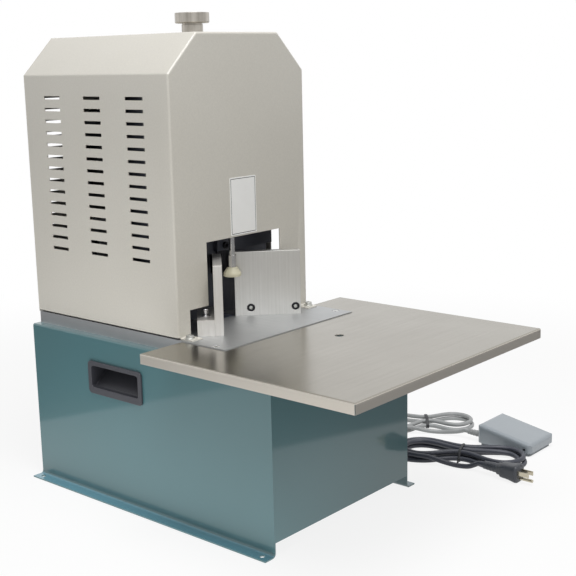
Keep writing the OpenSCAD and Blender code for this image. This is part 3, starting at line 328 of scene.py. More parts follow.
hoodCoat = greigePowderCoat({"colour": "#d0cdc4", "shade": "#c8c4ba", "cloudMm": 170, "grainMm": 2.4,
                             "rough": (0.42, 0.56), "bump": 0.18})
# flat is the painted reflection colour of the cabinet's up-facing foot flanges
tealEnamel = tealStovedEnamel({"colour": "#40696f", "shade": "#3f6468", "flat": "#6498a9", "footMm": 60,
                               "cloudMm": 210, "peelMm": 5.0, "rough": (0.3, 0.42), "bump": 0.06})
# cold-rolled stainless with a light linear polish: warm grey, blurred reflections; the lips' paler colour is
# painted light
trayStainless = linedMetal({"name": "polishedStainlessSheet", "colour": "#a8a49b", "shade": "#9f9b92",
                            "lineMm": (220, 1.5, 220), "cloudMm": 90, "rough": (0.2, 0.27), "bump": 0.02,
                            "lip": "#d3cdc3", "lipRough": 0.42})
# surface-ground steel: cool grey, fine lines along the wheel's path, oily clouds
bedSteel = linedMetal({"name": "groundSteelPlate", "colour": "#b8b9ba", "shade": "#abadae",
                       "lineMm": (1.4, 120, 120), "cloudMm": 40, "rough": (0.42, 0.52), "bump": 0.04})
# milled aluminium bar, as cut: upright cutter lines, soft white sheen
guideAluminium = linedMetal({"name": "milledAluminiumBar", "colour": "#d4d3d0", "shade": "#c4c3bf",
                             "lineMm": (3.0, 3.0, 140), "cloudMm": 40, "rough": (0.34, 0.46), "bump": 0.04})
# bead-blasted aluminium on the feet and the left guide: pale and matt
blastAluminium = linedMetal({"name": "blastedAluminiumBlock", "colour": "#dddbd7", "shade": "#cecbc6",
                             "lineMm": (3, 3, 60), "cloudMm": 18, "rough": (0.42, 0.55), "bump": 0.06})
# turned and ground steel on rollers, shaft and cam: bright rings
brightSteel = linedMetal({"name": "groundBrightSteel", "colour": "#cfcfcd", "shade": "#b6b7b8",
                          "lineMm": (1.2, 60, 1.2), "cloudMm": 20, "rough": (0.16, 0.26), "bump": 0.04})
# drawn and polished rod: long upright streaks
rodSteel = linedMetal({"name": "polishedRodSteel", "colour": "#e8e7e4", "shade": "#c6c5c3",
                       "lineMm": (1.6, 1.6, 120), "cloudMm": 30, "rough": (0.14, 0.24), "bump": 0.02})
# turned steel with a dull nickel skin; its strong upright streaks of light and shade are painted reflections
knobSteel = linedMetal({"name": "nickelledTurnedSteel", "colour": "#c6c1b9", "shade": "#969189",
                        "lineMm": (9, 9, 140), "cloudMm": 30, "rough": (0.29, 0.4), "bump": 0.02})
# hot-rolled flat bar with mill scale on the rails and gibs: dull grey drawn out lengthwise
rolledSteel = linedMetal({"name": "rolledFlatSteel", "colour": "#85878a", "shade": "#6c6e71",
                          "lineMm": (3, 120, 3), "cloudMm": 30, "rough": (0.4, 0.55), "bump": 0.08})
# bright zinc: pale and faintly mottled
zincPlate = platedSteel({"name": "zincPlatedSteel", "colour": "#d6d6d2", "shade": "#bebfbb", "spotMm": 3,
                         "rough": (0.29, 0.4)})
# polished screw heads: small bright mirrors
polishedSteel = platedSteel({"name": "polishedScrewSteel", "colour": "#f0f0ee", "shade": "#e2e2e0",
                             "spotMm": 4, "rough": (0.1, 0.2)})
# bare steel kept oiled: mid grey with a soft shine
oiledSteel = platedSteel({"name": "oiledBareSteel", "colour": "#b4b4b4", "shade": "#9c9c9d", "spotMm": 4,
                          "rough": (0.3, 0.42)})
# chemically blackened steel: near black with a dull shine
blackOxide = platedSteel({"name": "blackOxideSteel", "colour": "#2b2b2e", "shade": "#3a3a3d", "spotMm": 4,
                          "rough": (0.34, 0.5)})
# nickel over brass: warm, bright pins
prongNickel = platedSteel({"name": "nickelPlatedBrass", "colour": "#cdc6b3", "shade": "#b7af9b", "spotMm": 4,
                           "rough": (0.16, 0.26)})
# sprayed blue-black on the moving plates: dark satin
blackPaint = machinePaint({"name": "blueBlackMachinePaint", "colour": "#454852", "shade": "#4c4f5a",
                           "sandMm": 2.0, "cloudMm": 60, "rough": (0.36, 0.5), "bump": 0.08})
# brushed on sand castings: pimpled grey
castPaint = machinePaint({"name": "paintedCastIron", "colour": "#55585e", "shade": "#62656c", "sandMm": 3.0,
                          "cloudMm": 50, "rough": (0.42, 0.6), "bump": 0.25})
# dipped motor shell: smoother grey
motorPaint = machinePaint({"name": "greyMotorPaint", "colour": "#5b5e64", "shade": "#676a70", "sandMm": 2.5,
                           "cloudMm": 45, "rough": (0.36, 0.5), "bump": 0.15})
# sprayed pedal with a clear coat: even blue grey, soft gloss
pedalPaint = machinePaint({"name": "blueGreySprayPaint", "colour": "#9ba3a9", "shade": "#949ca3",
                           "sandMm": 9.0, "cloudMm": 60, "rough": (0.3, 0.38), "bump": 0.02, "coat": 0.6})
pedalBasePaint = machinePaint({"name": "greyBasePaint", "colour": "#8d9499", "shade": "#7f868c",
                               "sandMm": 3.0, "cloudMm": 30, "rough": (0.42, 0.55), "bump": 0.12})
# moulded ABS: black with a fine leather grain
pullAbs = mouldedPolymer({"name": "mouldedBlackAbs", "colour": "#34353b", "shade": "#3e3f45", "grainMm": 1.2,
                          "cloudMm": 24, "rough": (0.38, 0.52), "ior": 1.53, "bump": 0.12})
# moulded rubber: deep black or grey, no gloss
glandRubber = mouldedPolymer({"name": "mouldedBlackRubber", "colour": "#232427", "shade": "#2d2e31",
                              "grainMm": 1.0, "cloudMm": 12, "rough": (0.5, 0.64), "ior": 1.52, "bump": 0.1})
greyRubber = mouldedPolymer({"name": "mouldedGreyRubber", "colour": "#8f9192", "shade": "#9c9e9e",
                             "grainMm": 1.0, "cloudMm": 12, "rough": (0.46, 0.6), "ior": 1.52, "bump": 0.1})
# fabric-wrapped belt: dusty black
beltRubber = mouldedPolymer({"name": "wrappedBeltRubber", "colour": "#242424", "shade": "#313131",
                             "grainMm": 1.4, "cloudMm": 18, "rough": (0.6, 0.75), "ior": 1.52, "bump": 0.3})
# cast urethane: cream, waxy
padUrethane = mouldedPolymer({"name": "castCreamUrethane", "colour": "#d8d4bc", "shade": "#cbc6ab",
                              "grainMm": 1.6, "cloudMm": 9, "rough": (0.4, 0.55), "ior": 1.5, "bump": 0.06})
# moulded vinyl: dark blue grey with a slight shine
plugVinyl = mouldedPolymer({"name": "mouldedGreyVinyl", "colour": "#3d4047", "shade": "#4a4d54",
                            "grainMm": 1.2, "cloudMm": 14, "rough": (0.36, 0.48), "ior": 1.53, "bump": 0.06})
# white vinyl sheet and screen-printed ink: clean and flat
plateVinyl = mouldedPolymer({"name": "whitePrintedVinyl", "colour": "#f6f6f4", "shade": "#eeeeec",
                             "grainMm": 1.5, "cloudMm": 20, "rough": (0.3, 0.4), "ior": 1.5, "bump": 0.03})
plateInk = mouldedPolymer({"name": "screenPrintedInk", "colour": "#1d1d1f", "shade": "#262628",
                           "grainMm": 1.5, "cloudMm": 20, "rough": (0.35, 0.45), "ior": 1.5, "bump": 0.03})
sheath = {"cloudMm": 18, "grainMm": 1.1, "rough": (0.36, 0.52), "bump": 0.12}
blackPvc = softPvc({"name": "blackPvcSheath", "colour": "#353843", "shade": "#444752"} | sheath)
greyPvc = softPvc({"name": "greyPvcSheath", "colour": "#999b9c", "shade": "#a7a9a9"} | sheath)
print("finishes made")


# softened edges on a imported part: a small round on every sharp edge
edgeRule = {"flatDegrees": 0.6, "sharpDegrees": 38}


def easeEdges(obj, widthMm, steps):
    weld = obj.modifiers.new("weldCorners", "WELD")
    weld.merge_threshold = hairMm * mm
    flat = obj.modifiers.new("joinFlats", "DECIMATE")
    flat.decimate_type, flat.angle_limit = "DISSOLVE", math.radians(edgeRule["flatDegrees"])
    edge = obj.modifiers.new("softEdge", "BEVEL")
    edge.width, edge.segments, edge.limit_method = widthMm * mm, steps, "ANGLE"
    edge.angle_limit = math.radians(edgeRule["sharpDegrees"])
    edge.harden_normals, edge.miter_outer = True, "MITER_ARC"
    level = obj.modifiers.new("evenShade", "WEIGHTED_NORMAL")
    level.keep_sharp = True


def dress(names, finish, widthMm=0.0, steps=2):
    for name in names:
        for part in nodes[name].material_slots:
            part.material = finish
        if widthMm:
            easeEdges(nodes[name], widthMm, steps)


dress(("cabinet_left_side", "cabinet_right_side", "cabinet_front", "cabinet_back"), tealEnamel, 0.8)
dress(("left_pull", "right_pull"), pullAbs, 1.1, 3)
dress(("bed_plate",), bedSteel, 1.0)
dress(("table",), trayStainless, 0.6)
dress(("table_rails", "left_gib", "right_gib"), rolledSteel, 0.6)
dress(("right_guide",), guideAluminium, 0.7)
dress(("left_guide", "left_guide_foot", "right_guide_foot"), blastAluminium, 0.9)
dress(("hood_screws",), zincPlate, 0.35)
dress(("bed_screws",), polishedSteel, 0.35)
dress(("gib_screws", "knife_screws", "upright_bolts", "knife"), blackOxide, 0.4)
dress(("upright", "ram_yoke", "presser_bracket", "knife_clamp", "roller_plates", "die_block"),
      blackPaint, 0.6)
dress(("hood_back",), hoodCoat)  # left unrounded: rounding closes its vents
dress(("presser_rod",), rodSteel, 0.3)
dress(("bearing_housing", "flywheel", "motor_pulley"), castPaint, 0.8)
dress(("shaft_bearings", "camshaft", "heart_cam", "upper_roller", "lower_roller", "pedal_pin"),
      brightSteel, 0.4)
dress(("motor",), motorPaint, 0.7)
dress(("drive_belt",), beltRubber, 0.6)
dress(("pedal_treadle",), pedalPaint, 1.6, 4)
dress(("pedal_base",), pedalBasePaint, 0.8)
dress(("plug_prongs",), prongNickel, 0.3)
print("packed parts dressed")


# a finished mesh piece on its body
def meshPiece(name, bm, finishes, body, replaced=()):
    mesh = bpy.data.meshes.new(name)
    bmesh.ops.recalc_face_normals(bm, faces=bm.faces)
    bm.to_mesh(mesh)
    bm.free()
    for finish in finishes:
        mesh.materials.append(finish)
    obj = bpy.data.objects.new(name, mesh)
    scene.collection.objects.link(obj)
    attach(obj, body)
    if replaced:
        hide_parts(*replaced)
    return obj


# closed rings of points joined into a skin; the ends are capped unless the skin closes on itself;
# marks number the finish of each band and, last, of the far cap
def skinRings(bm, rings, closed=False, marks=()):
    rows = [[bm.verts.new(p) for p in ring] for ring in rings]
    count = len(rows[0])
    pairs = list(zip(rows, rows[1:])) + ([(rows[-1], rows[0])] if closed else [])
    for i, (a, b) in enumerate(pairs):
        for k in range(count):
            made = bm.faces.new((a[k], a[(k + 1) % count], b[(k + 1) % count], b[k]))
            made.material_index = marks[i] if marks else 0
    if not closed:
        bm.faces.new(rows[0])
        bm.faces.new(rows[-1]).material_index = marks[-1] if marks else 0


def smoothAll(bm, sharpDegrees):
    bmesh.ops.recalc_face_normals(bm, faces=bm.faces)  # the angles below need them
    for face in bm.faces:
        face.smooth = True
    for edge in bm.edges:
        if len(edge.link_faces) == 2 and edge.calc_face_angle(0) > math.radians(sharpDegrees):
            edge.smooth = False


# hood: one folded and welded sheet with square vents, stepped mouth, offcut window and two screw tabs
hood = {
    "shoulderDrop": 52, "sheet": 1.5, "bend": 3.8, "edge": 3.0, "edgeFlat": 0.7, "arcSteps": 4,
    "ventLong": 35, "ventHigh": 4.5, "ventRows": 14, "ventColumns": 3, "ventTopDrop": 31,
    "ventPitch": (85.5, 16.4), "ventBack": 61, "ventRowsOverWindow": 11,
    "mouthHalf": 74, "mouthHigh": 122, "stepHalf": 109, "stepHigh": 36,
    "tab": 22, "tabThick": 1.5, "tabBend": 1.6,
    "windowFrom": 18, "windowLong": 50, "windowLow": 3, "windowUnder": 2, "windowCorner": 4,
    "cornerDegrees": (22.5, 45, 67.5), "sharpDegrees": 60, "paintRound": 0.35,
}


# the bends of a folded line, each drawn as an arc, with the way in from the outside at each point
def foldedLine(corners, radius, steps):
    out = []
    for a, b, c in zip(corners, corners[1:], corners[2:]):
        inward, onward = (b - a).normalized(), (c - b).normalized()
        turn = inward.angle_signed(onward)  # positive when turning right
        hand = 1 if turn > 0 else -1
        start = b - inward * (radius * math.tan(abs(turn) / 2))
        centre = start + Vector((inward.y, -inward.x)) * hand * radius
        for k in range(steps + 1):
            arm = Matrix.Rotation(-turn * k / steps, 2) @ (start - centre)
            out.append((centre + arm, -arm.normalized() * hand))
    return out


def buildHood(h):
    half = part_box("hood_front")[1].x / mm
    low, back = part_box("hood_left_side")[0].z / mm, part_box("hood_back")[1].y / mm
    top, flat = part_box("hood_top")[1].z / mm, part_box("hood_top")[1].x / mm
    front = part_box("hood_front")[1].y / mm - h["sheet"]
    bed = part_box("hood_front")[0].z / mm
    side = top - h["shoulderDrop"]
    tabTop = bed + h["tabThick"] + h["tabBend"]
    ventZ = [side - h["ventTopDrop"] - j * h["ventPitch"][1] for j in range(h["ventRows"])]
    ventY = [back - h["ventBack"] - i * h["ventPitch"][0] for i in range(h["ventColumns"])]
    window = [front + h["windowFrom"], front + h["windowFrom"] + h["windowLong"],
              bed + h["windowLow"], bed + h["mouthHigh"] - h["windowUnder"]]

    # the side's cuts across and up: vents on both sides, the window on the right one
    reach, rise, corner = h["ventLong"] / 2, h["ventHigh"] / 2, h["windowCorner"]
    cutsY = sorted({front + h["edge"], back - h["sheet"]} | {y + s * reach for y in ventY for s in (-1, 1)}
                   | {window[0], window[0] + corner, window[1] - corner, window[1]})
    cutsZ = sorted({low, tabTop} | {z + s * rise for z in ventZ for s in (-1, 1)}
                   | {window[2], window[2] + corner, window[3] - corner, window[3]})
    folds = ((-half, low), (-half, side), (-flat, top), (flat, top), (half, side), (half, low))
    leftIn, rightIn = Vector((1, 0)), Vector((-1, 0))
    line = [(Vector((-half, z)), leftIn) for z in cutsZ]
    line += foldedLine([Vector(p) for p in folds], h["bend"], h["arcSteps"])
    line += [(Vector((half, z)), rightIn) for z in reversed(cutsZ)]

    def isOpen(y0, y1, a, b):
        y, z, x = (y0 + y1) / 2, (a.y + b.y) / 2, (a.x + b.x) / 2
        if abs(x) < half - hairMm:
            return False
        if x > 0 and window[0] < y < window[1] and window[2] < z < window[3]:
            return True
        for i, v in enumerate(ventY):
            overWindow = x > 0 and i == h["ventColumns"] - 1
            rows = h["ventRowsOverWindow"] if overWindow else h["ventRows"]
            if abs(y - v) < reach and any(abs(z - u) < rise for u in ventZ[:rows]):
                return True
        return False

    bm = bmesh.new()
    rows = [[bm.verts.new((p.x * mm, y * mm, p.y * mm)) for p, way in line] for y in cutsY]
    for j in range(len(cutsY) - 1):
        for k in range(len(line) - 1):
            if not isOpen(cutsY[j], cutsY[j + 1], line[k][0], line[k + 1][0]):
                bm.faces.new((rows[j][k], rows[j][k + 1], rows[j + 1][k + 1], rows[j + 1][k]))

    # round the window's corners with small fans
    def nearVert(y, z):
        return min((v for row in rows for v in row if v.co.x > 0),
                   key=lambda v: (v.co - Vector((half * mm, y * mm, z * mm))).length)
    angles = [math.radians(d) for d in h["cornerDegrees"]]
    for y, sy in ((window[0], 1), (window[1], -1)):
        for z, sz in ((window[2], 1), (window[3], -1)):
            arc = [bm.verts.new((half * mm, (y + sy * corner * (1 - math.cos(a))) * mm,
                                 (z + sz * corner * (1 - math.sin(a))) * mm)) for a in angles]
            ends = nearVert(y, z), nearVert(y, z + sz * corner), nearVert(y + sy * corner, z)
            bm.faces.new([*ends[:2], *arc, ends[2]])

    # rounded front edge and a narrow flat, then the front as one face with the mouth cut out of it
    arcSteps = h["arcSteps"]
    ring = rows[0]
    for k in range(1, arcSteps + 2):
        a = math.radians(90 * min(k, arcSteps) / arcSteps)
        inset, ahead = h["edge"] * (1 - math.cos(a)), h["edge"] * (1 - math.sin(a))
        inset += h["edgeFlat"] if k > arcSteps else 0
        inner = [bm.verts.new(((p.x + way.x * inset) * mm, (front + ahead) * mm, (p.y + way.y * inset) * mm))
                 for p, way in line]
        for i in range(len(line) - 1):
            bm.faces.new((inner[i], inner[i + 1], ring[i + 1], ring[i]))
        ring = inner
    mouth = [(h["stepHalf"], tabTop), (h["stepHalf"], bed + h["stepHigh"]),
             (h["mouthHalf"], bed + h["stepHigh"]), (h["mouthHalf"], bed + h["mouthHigh"])]
    outline = mouth + [(-x, z) for x, z in reversed(mouth)]
    cut = [bm.verts.new((x * mm, front * mm, z * mm)) for x, z in outline]
    bm.faces.new(ring[1:-1] + cut)

    # tabs fold forward from the foot of the front
    for outer, inner in ((ring[1], cut[-1]), (ring[-2], cut[0])):
        strip = [(outer, inner)]
        for k in range(1, arcSteps + 2):
            a = math.radians(90 * min(k, arcSteps) / arcSteps)
            y = front - (h["tabBend"] * (1 - math.cos(a)) if k <= arcSteps else h["tab"])
            z = tabTop - h["tabBend"] * math.sin(a)
            strip.append([bm.verts.new((v.co.x, y * mm, z * mm)) for v in (outer, inner)])
        for (a, b), (c, d) in zip(strip, strip[1:]):
            bm.faces.new((a, b, d, c))
    smoothAll(bm, h["sharpDegrees"])
    obj = meshPiece("hoodShell", bm, [hoodCoat], "frame",
                    ("hood_left_side", "hood_right_side", "hood_top", "hood_front"))
    skin = obj.modifiers.new("sheetThickness", "SOLIDIFY")
    skin.thickness, skin.offset, skin.use_even_offset = h["sheet"] * mm, -1.0, True
    edge = obj.modifiers.new("paintedEdge", "BEVEL")
    edge.width, edge.segments, edge.limit_method = h["paintRound"] * mm, 2, "ANGLE"
    edge.angle_limit, edge.harden_normals = math.radians(h["sharpDegrees"]), True


buildHood(hood)
print("hood folded")


# blank plate over the mouth: thin vinyl with rounded corners and a printed line round it
plate = {"wide": 52, "high": 79, "above": 2, "thick": 0.35, "sideShare": 0.7, "rim": 0.15, "corner": 1.5,
         "leastCorner": 0.2, "border": 1.6, "line": 0.8}


def roundedOutline(wide, high, radius, steps=5):
    pts = []
    for sx, sz, start in ((1, 1, 0), (-1, 1, 90), (-1, -1, 180), (1, -1, 270)):
        for k in range(steps + 1):
            a = math.radians(start + 90 * k / steps)
            pts.append((sx * (wide / 2 - radius) + radius * math.cos(a),
                        sz * (high / 2 - radius) + radius * math.sin(a)))
    return pts


def buildPlate(p):
    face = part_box("hood_front")[1].y / mm - hood["sheet"]
    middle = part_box("hood_front")[0].z / mm + hood["mouthHigh"] + p["above"] + p["high"] / 2
    sizes = [(0, 0.0), (0, p["thick"] * p["sideShare"]), (p["rim"], p["thick"]), (p["border"], p["thick"]),
             (p["border"] + p["line"], p["thick"])]
    rings = []
    for inset, out in sizes:
        corner = max(p["corner"] - inset, p["leastCorner"])
        ring = roundedOutline(p["wide"] - 2 * inset, p["high"] - 2 * inset, corner)
        rings.append([(x * mm, (face - out) * mm, (middle + z) * mm) for x, z in ring])
    bm = bmesh.new()
    skinRings(bm, rings, marks=(0, 0, 0, 1, 0))  # the fourth band is the printed line
    meshPiece("blankPlate", bm, [plateVinyl, plateInk], "frame")


buildPlate(plate)
print("plate set")


# a turned skin about an axis: each step is radius and distance along, and a third value makes it a hexagon
def turnedSkin(bm, base, axis, steps, socketFinish=0):
    axis = Vector(axis).normalized()
    side = axis.orthogonal().normalized()
    up = axis.cross(side)
    rings = []
    for radius, along, *six in steps:
        ring = []
        for k in range(turnSteps):
            a = math.tau * k / turnSteps
            r = radius * (math.cos(math.pi / 6) / math.cos(a % (math.pi / 3) - math.pi / 6) if six else 1)
            ring.append((Vector(base) + axis * along + (side * math.cos(a) + up * math.sin(a)) * r) * mm)
        rings.append(ring)
    skinRings(bm, rings, marks=[socketFinish if len(step) > 2 else 0 for step in steps])


# steps of a socket head from its seat: rounded rim, then the hexagon socket going back in
def socketHead(g):
    r, high, socket, rim, foot = g["headWide"] / 2, g["headHigh"], g["socket"] / 2, g["rim"], g["footRound"]
    return [(r - foot, 0), (r, foot), (r, high - rim), (r - rim * 0.3, high - rim * 0.3), (r - rim, high),
            (socket * 1.12, high), (socket * 1.1, high - 0.15, 1), (socket, high - 0.6, 1),
            (socket, high - g["socketDeep"], 1)]


# guide screws: blackened socket heads sunk in the plates, bright in the socket where the key has worn it
guideScrew = {"plateLong": 94, "along": (22.4, 86.4), "rise": 11.44, "sunk": 6.4, "headWide": 11.1,
              "headHigh": 6.0, "rim": 0.7, "footRound": 0.3, "socket": 4.8, "socketDeep": 2.6,
              "shank": 6, "shankLong": 16, "shankGap": 0.1, "sharpDegrees": 35}


def buildGuideScrews(g):
    lo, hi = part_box("right_guide")
    half = math.sqrt(0.5)  # the plates stand at 45 degrees
    thick = ((hi.x - lo.x) + (hi.y - lo.y)) / mm / 2 / half - g["plateLong"]
    near = Vector((lo.x / mm, hi.y / mm - thick * half))
    bm = bmesh.new()
    for mirror in (1, -1):
        along, back = Vector((mirror * half, -half, 0)), Vector((mirror * half, half, 0))
        for u in g["along"]:
            seat = Vector((mirror * near.x, near.y, lo.z / mm + g["rise"])) + along * u + back * g["sunk"]
            turnedSkin(bm, seat, -back, socketHead(g), 1)
            turnedSkin(bm, seat - back * g["shankGap"], back,
                       [(g["shank"] / 2, 0), (g["shank"] / 2, g["shankLong"])])
    smoothAll(bm, g["sharpDegrees"])
    meshPiece("guideCapScrews", bm, [blackOxide, zincPlate], "frame", ("guide_screws",))


buildGuideScrews(guideScrew)


# clamp screws: washer, waisted neck and a head that flares to a flat top
clampScrew = {"washer": 12, "washerHigh": 1.3, "washerRound": 0.2, "inset": 0.5, "neck": 5.2, "neckHigh": 1.6,
              "neckRound": 0.6, "flare": (1.2, 2), "head": 9.6, "headHigh": 7.4, "rimHigh": 1.6,
              "topRound": 0.5, "sharpDegrees": 40}


def buildClampScrews(c):
    lo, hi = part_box("clamp_screws")
    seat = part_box("left_guide_foot")[1].z / mm
    r, w, soft = c["washer"] / 2, c["washerHigh"], c["washerRound"]
    n, waist, head = c["neck"] / 2, c["washerHigh"] + c["neckHigh"], c["head"] / 2
    top = waist + c["headHigh"]
    steps = [(r - soft, 0), (r, soft), (r, w - soft), (r - soft, w), (n + c["neckRound"], w),
             (n, w + c["neckRound"]), (n, waist), (n + c["flare"][0], waist + c["flare"][1]),
             (head, top - c["rimHigh"]), (head, top - c["topRound"]), (head - c["topRound"], top)]
    bm = bmesh.new()
    for x in (lo.x / mm + r + c["inset"], hi.x / mm - r - c["inset"]):
        turnedSkin(bm, (x, (lo.y + hi.y) / 2 / mm, seat), (0, 0, 1), steps)
    smoothAll(bm, c["sharpDegrees"])
    meshPiece("clampScrews", bm, [oiledSteel], "frame", ("clamp_screws",))


buildClampScrews(clampScrew)
print("screws set")


# presser foot: cast urethane disc, thick rim and a chamfered shoulder up to the collar
pad = {"neck": 12, "rim": 0.8, "side": 4.4, "shoulder": 4.8, "sharpDegrees": 30}


def buildPad(p):
    lo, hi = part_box("presser_pad")
    middle = (lo + hi) / 2 / mm
    r, neck, high = (hi.x - lo.x) / 2 / mm, p["neck"] / 2, (hi.z - lo.z) / mm
    rim, side, collar = p["rim"], p["side"], (hi.x - lo.x) / 2 / mm - p["shoulder"]
    # under the rim, up its side, then the shoulder and the step to the collar, all with small rounds
    steps = [(r - rim, 0), (r - rim * 0.3, rim * 0.3), (r, rim), (r, side), (r - 0.3, side + 0.7),
             (collar, high - 1.2), (collar - 0.5, high - 0.8), (neck + 0.3, high - 0.5), (neck, high)]
    bm = bmesh.new()
    turnedSkin(bm, (middle.x, middle.y, lo.z / mm), (0, 0, 1), steps)
    smoothAll(bm, p["sharpDegrees"])
    meshPiece("presserPad", bm, [padUrethane], "presser", ("presser_pad",))


buildPad(pad)


# knob: turned head over a plain neck, undercut between them, shallow dish on top; sizes from its foot
knob = {"spindle": 12, "below": 26, "neck": 29.4, "undercut": 28.2, "head": 47.5, "headFrom": 14, "dish": 36,
        "dishDeep": 0.8, "dishSlope": 1.5, "chamfer": 0.4, "sharpDegrees": 35}


def buildKnob(k):
    lo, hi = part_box("hood_knob")
    middle, foot = (lo + hi) / 2 / mm, lo.z / mm + k["below"]
    high, start, r = hi.z / mm - foot, k["headFrom"], k["head"] / 2
    spindle, neck, cut, dish = k["spindle"] / 2, k["neck"] / 2, k["undercut"] / 2, k["dish"] / 2
    soft, floor = k["chamfer"], high - k["dishDeep"]
    # spindle, neck and undercut, then the head's rounded foot, its side and the dish
    steps = [(spindle - 0.5, -k["below"]), (spindle, -k["below"] + 0.5), (spindle, 0),
             (neck - soft, 0), (neck, soft), (neck, start - 2.2), (neck - 0.3, start - 1.9),
             (cut, start - 1.8), (cut, start), (r - 1.6, start), (r - 0.4, start + 0.5), (r, start + 1.5),
             (r, start + 1.7), (r, high - soft), (r - soft, high), (dish, high),
             (dish - k["dishSlope"], floor), (k["dishSlope"], floor)]
    bm = bmesh.new()
    turnedSkin(bm, (middle.x, middle.y, foot), (0, 0, 1), steps)
    smoothAll(bm, k["sharpDegrees"])
    meshPiece("turnedKnob", bm, [knobSteel], "knob", ("hood_knob",))


buildKnob(knob)
print("pad and knob turned")


# cords: the same routes as the part's source, in millimetres
def throughPoints(pts, steps):
    out = []
    for i in range(len(pts) - 1):
        b, c = pts[i], pts[i + 1]
        a = 2 * b - c if i == 0 else pts[i - 1]
        d = pts[i + 2] if i + 2 < len(pts) else 2 * c - b
        for k in range(steps):
            t = k / steps
            out.append(0.5 * (2 * b + (c - a) * t + (2 * a - 5 * b + 4 * c - d) * t * t
                              + (3 * b - a - 3 * c + d) * t ** 3))
    return out + [pts[-1]]


def onHank(h, point):
    a = math.radians(h["turned"])
    x, y, z = point
    return Vector((h["middle"][0] + x * math.cos(a) - y * math.sin(a),
                   h["middle"][1] + x * math.sin(a) + y * math.cos(a), z))


hankLay = {"steps": 28, "layerGap": 0.8, "crossLift": 2.2, "shortOfEnd": 0.00001}


# a place on the hank's loops, which are drawn in at the waist and spiral in and out again in two layers
def hankPoint(h, t):
    r, half = h["cordMm"] / 2, h["turns"] / 2
    q = (t - math.floor(t)) * 4
    k = math.floor(q)
    f = q - k
    rad, draw = h["fold"] + h["step"] * abs(t - half), h["fold"] - h["waist"]
    up = min(1.0, max(0.0, (t - half + 0.25) * 2))
    inward = math.sin(math.pi * f) ** 2
    lift = hankLay["crossLift"] * inward if k % 2 == 0 else 0
    z = r + up * up * (3 - 2 * up) * (2 * r + hankLay["layerGap"]) + lift
    turn = math.radians((-90 if k == 1 else 90) + 180 * f)
    flat = [(-h["run"] + 2 * h["run"] * f, -rad + draw * inward),
            (h["run"] + rad * math.cos(turn), rad * math.sin(turn)),
            (h["run"] - 2 * h["run"] * f, rad - draw * inward),
            (-h["run"] + rad * math.cos(turn), rad * math.sin(turn))][k]
    return (*flat, z)


def hankLoops(h):
    steps, last = hankLay["steps"], h["turns"] - hankLay["shortOfEnd"]
    return [onHank(h, hankPoint(h, min(i / steps, last))) for i in range(h["turns"] * steps + 1)]


def cordCurve(name, pts, diameterMm, finish):
    data = bpy.data.curves.new(name, "CURVE")
    data.dimensions, data.resolution_u = "3D", 6
    data.bevel_depth, data.bevel_resolution, data.use_fill_caps = diameterMm / 2 * mm, 5, True
    line = data.splines.new("BEZIER")
    line.bezier_points.add(len(pts) - 1)
    for knot, p in zip(line.bezier_points, pts):
        knot.co = p * mm
        knot.handle_left_type = knot.handle_right_type = "AUTO"
    data.materials.append(finish)
    obj = bpy.data.objects.new(name, data)
    scene.collection.objects.link(obj)
    return obj


# lead runs from the cabinet to the hank; tail is in the hank's own frame; height 0 lies on the floor
mainsLine = {
    "cordMm": 7.5, "middle": (294, -233), "turned": -70, "run": 62, "fold": 24, "waist": 5,
    "turns": 3, "step": 7.5 * 1.17, "start": Vector((179, 95, 45)), "end": Vector((262, -293, 13.5)),
    "lead": ((212, 90, 38), (230, 74, 22), (238, 48, 9), (238, 15, 0), (232, -30, 0), (224, -75, 0),
             (221, -120, 0), (229, -163, 0)),
    "tail": ((-42, -38.5, 11.5), (-22, -40, 7.5), (0, -40, 0), (20, -42, 5)), "beforeEnd": ((0, 10, 0),),
}
pedalLine = {
    "cordMm": 6.8, "middle": (388, -106), "turned": -49, "run": 46, "fold": 25, "waist": 4.6,
    "turns": 2, "step": 6.8 * 1.22, "start": Vector((179, 150, 45)), "end": Vector((377, -195, 13)),
    "lead": ((214, 146, 38), (238, 134, 20), (256, 112, 8), (268, 82, 0), (276, 40, 0), (284, -5, 0),
             (298, -45, 0), (316, -74, 0)),
    "tail": ((-26, -34.5, 10), (-4, -35.5, 5), (18, -39, 0)), "beforeEnd": ((0, 22, -5), (0, 8, 0)),
}
straightOut = Vector((10, 0, 0))  # the first stretch stands square to the cabinet


def layCord(name, c, finish, replaced):
    r, loops = c["cordMm"] / 2, hankLoops(c)
    lead = [c["start"], c["start"] + straightOut] + [Vector((x, y, max(z, r))) for x, y, z in c["lead"]]
    tail = [onHank(c, (x, y, max(z, r))) for x, y, z in c["tail"]]
    tail += [c["end"] + Vector(v) for v in c["beforeEnd"]] + [c["end"]]
    pts = throughPoints(lead + loops[:1], 2)[:-1] + loops + throughPoints(loops[-1:] + tail, 2)[1:]
    cord = cordCurve(name, pts, c["cordMm"], finish)
    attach(cord, "frame")
    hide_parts(*replaced)
    return cord


mainsCord = layCord("mainsCord", mainsLine, blackPvc,
                    ("mains_lead", "mains_hank", "mains_tail"))
pedalCord = layCord("pedalCord", pedalLine, greyPvc,
                    ("pedal_lead", "pedal_hank", "pedal_tail"))
print("cords laid")


# ties: a narrow twisted tie on the mains hank, a plain band on the pedal hank, drawn tight round the waist
mainsTie = {"name": "mainsTwistTie", "wide": 3.4, "thick": 1.1, "twisted": True}
pedalTie = {"name": "pedalCordBand", "wide": 5.0, "thick": 1.1, "twisted": False}
tieFit = {"steps": 64, "slack": 0.15, "cornerShare": 0.4, "offFloor": 0.3, "sharpDegrees": 60}
twist = {"points": 26, "turns": 2.2, "from": 1.2, "long": 12, "apart": (1.0, 0.9), "closing": 0.4,
         "fall": 1.6, "high": 1.6, "wire": 0.75, "loop": 2.8, "loopAt": 14.6, "loopHigh": 1.1,
         "loopPoints": 18}


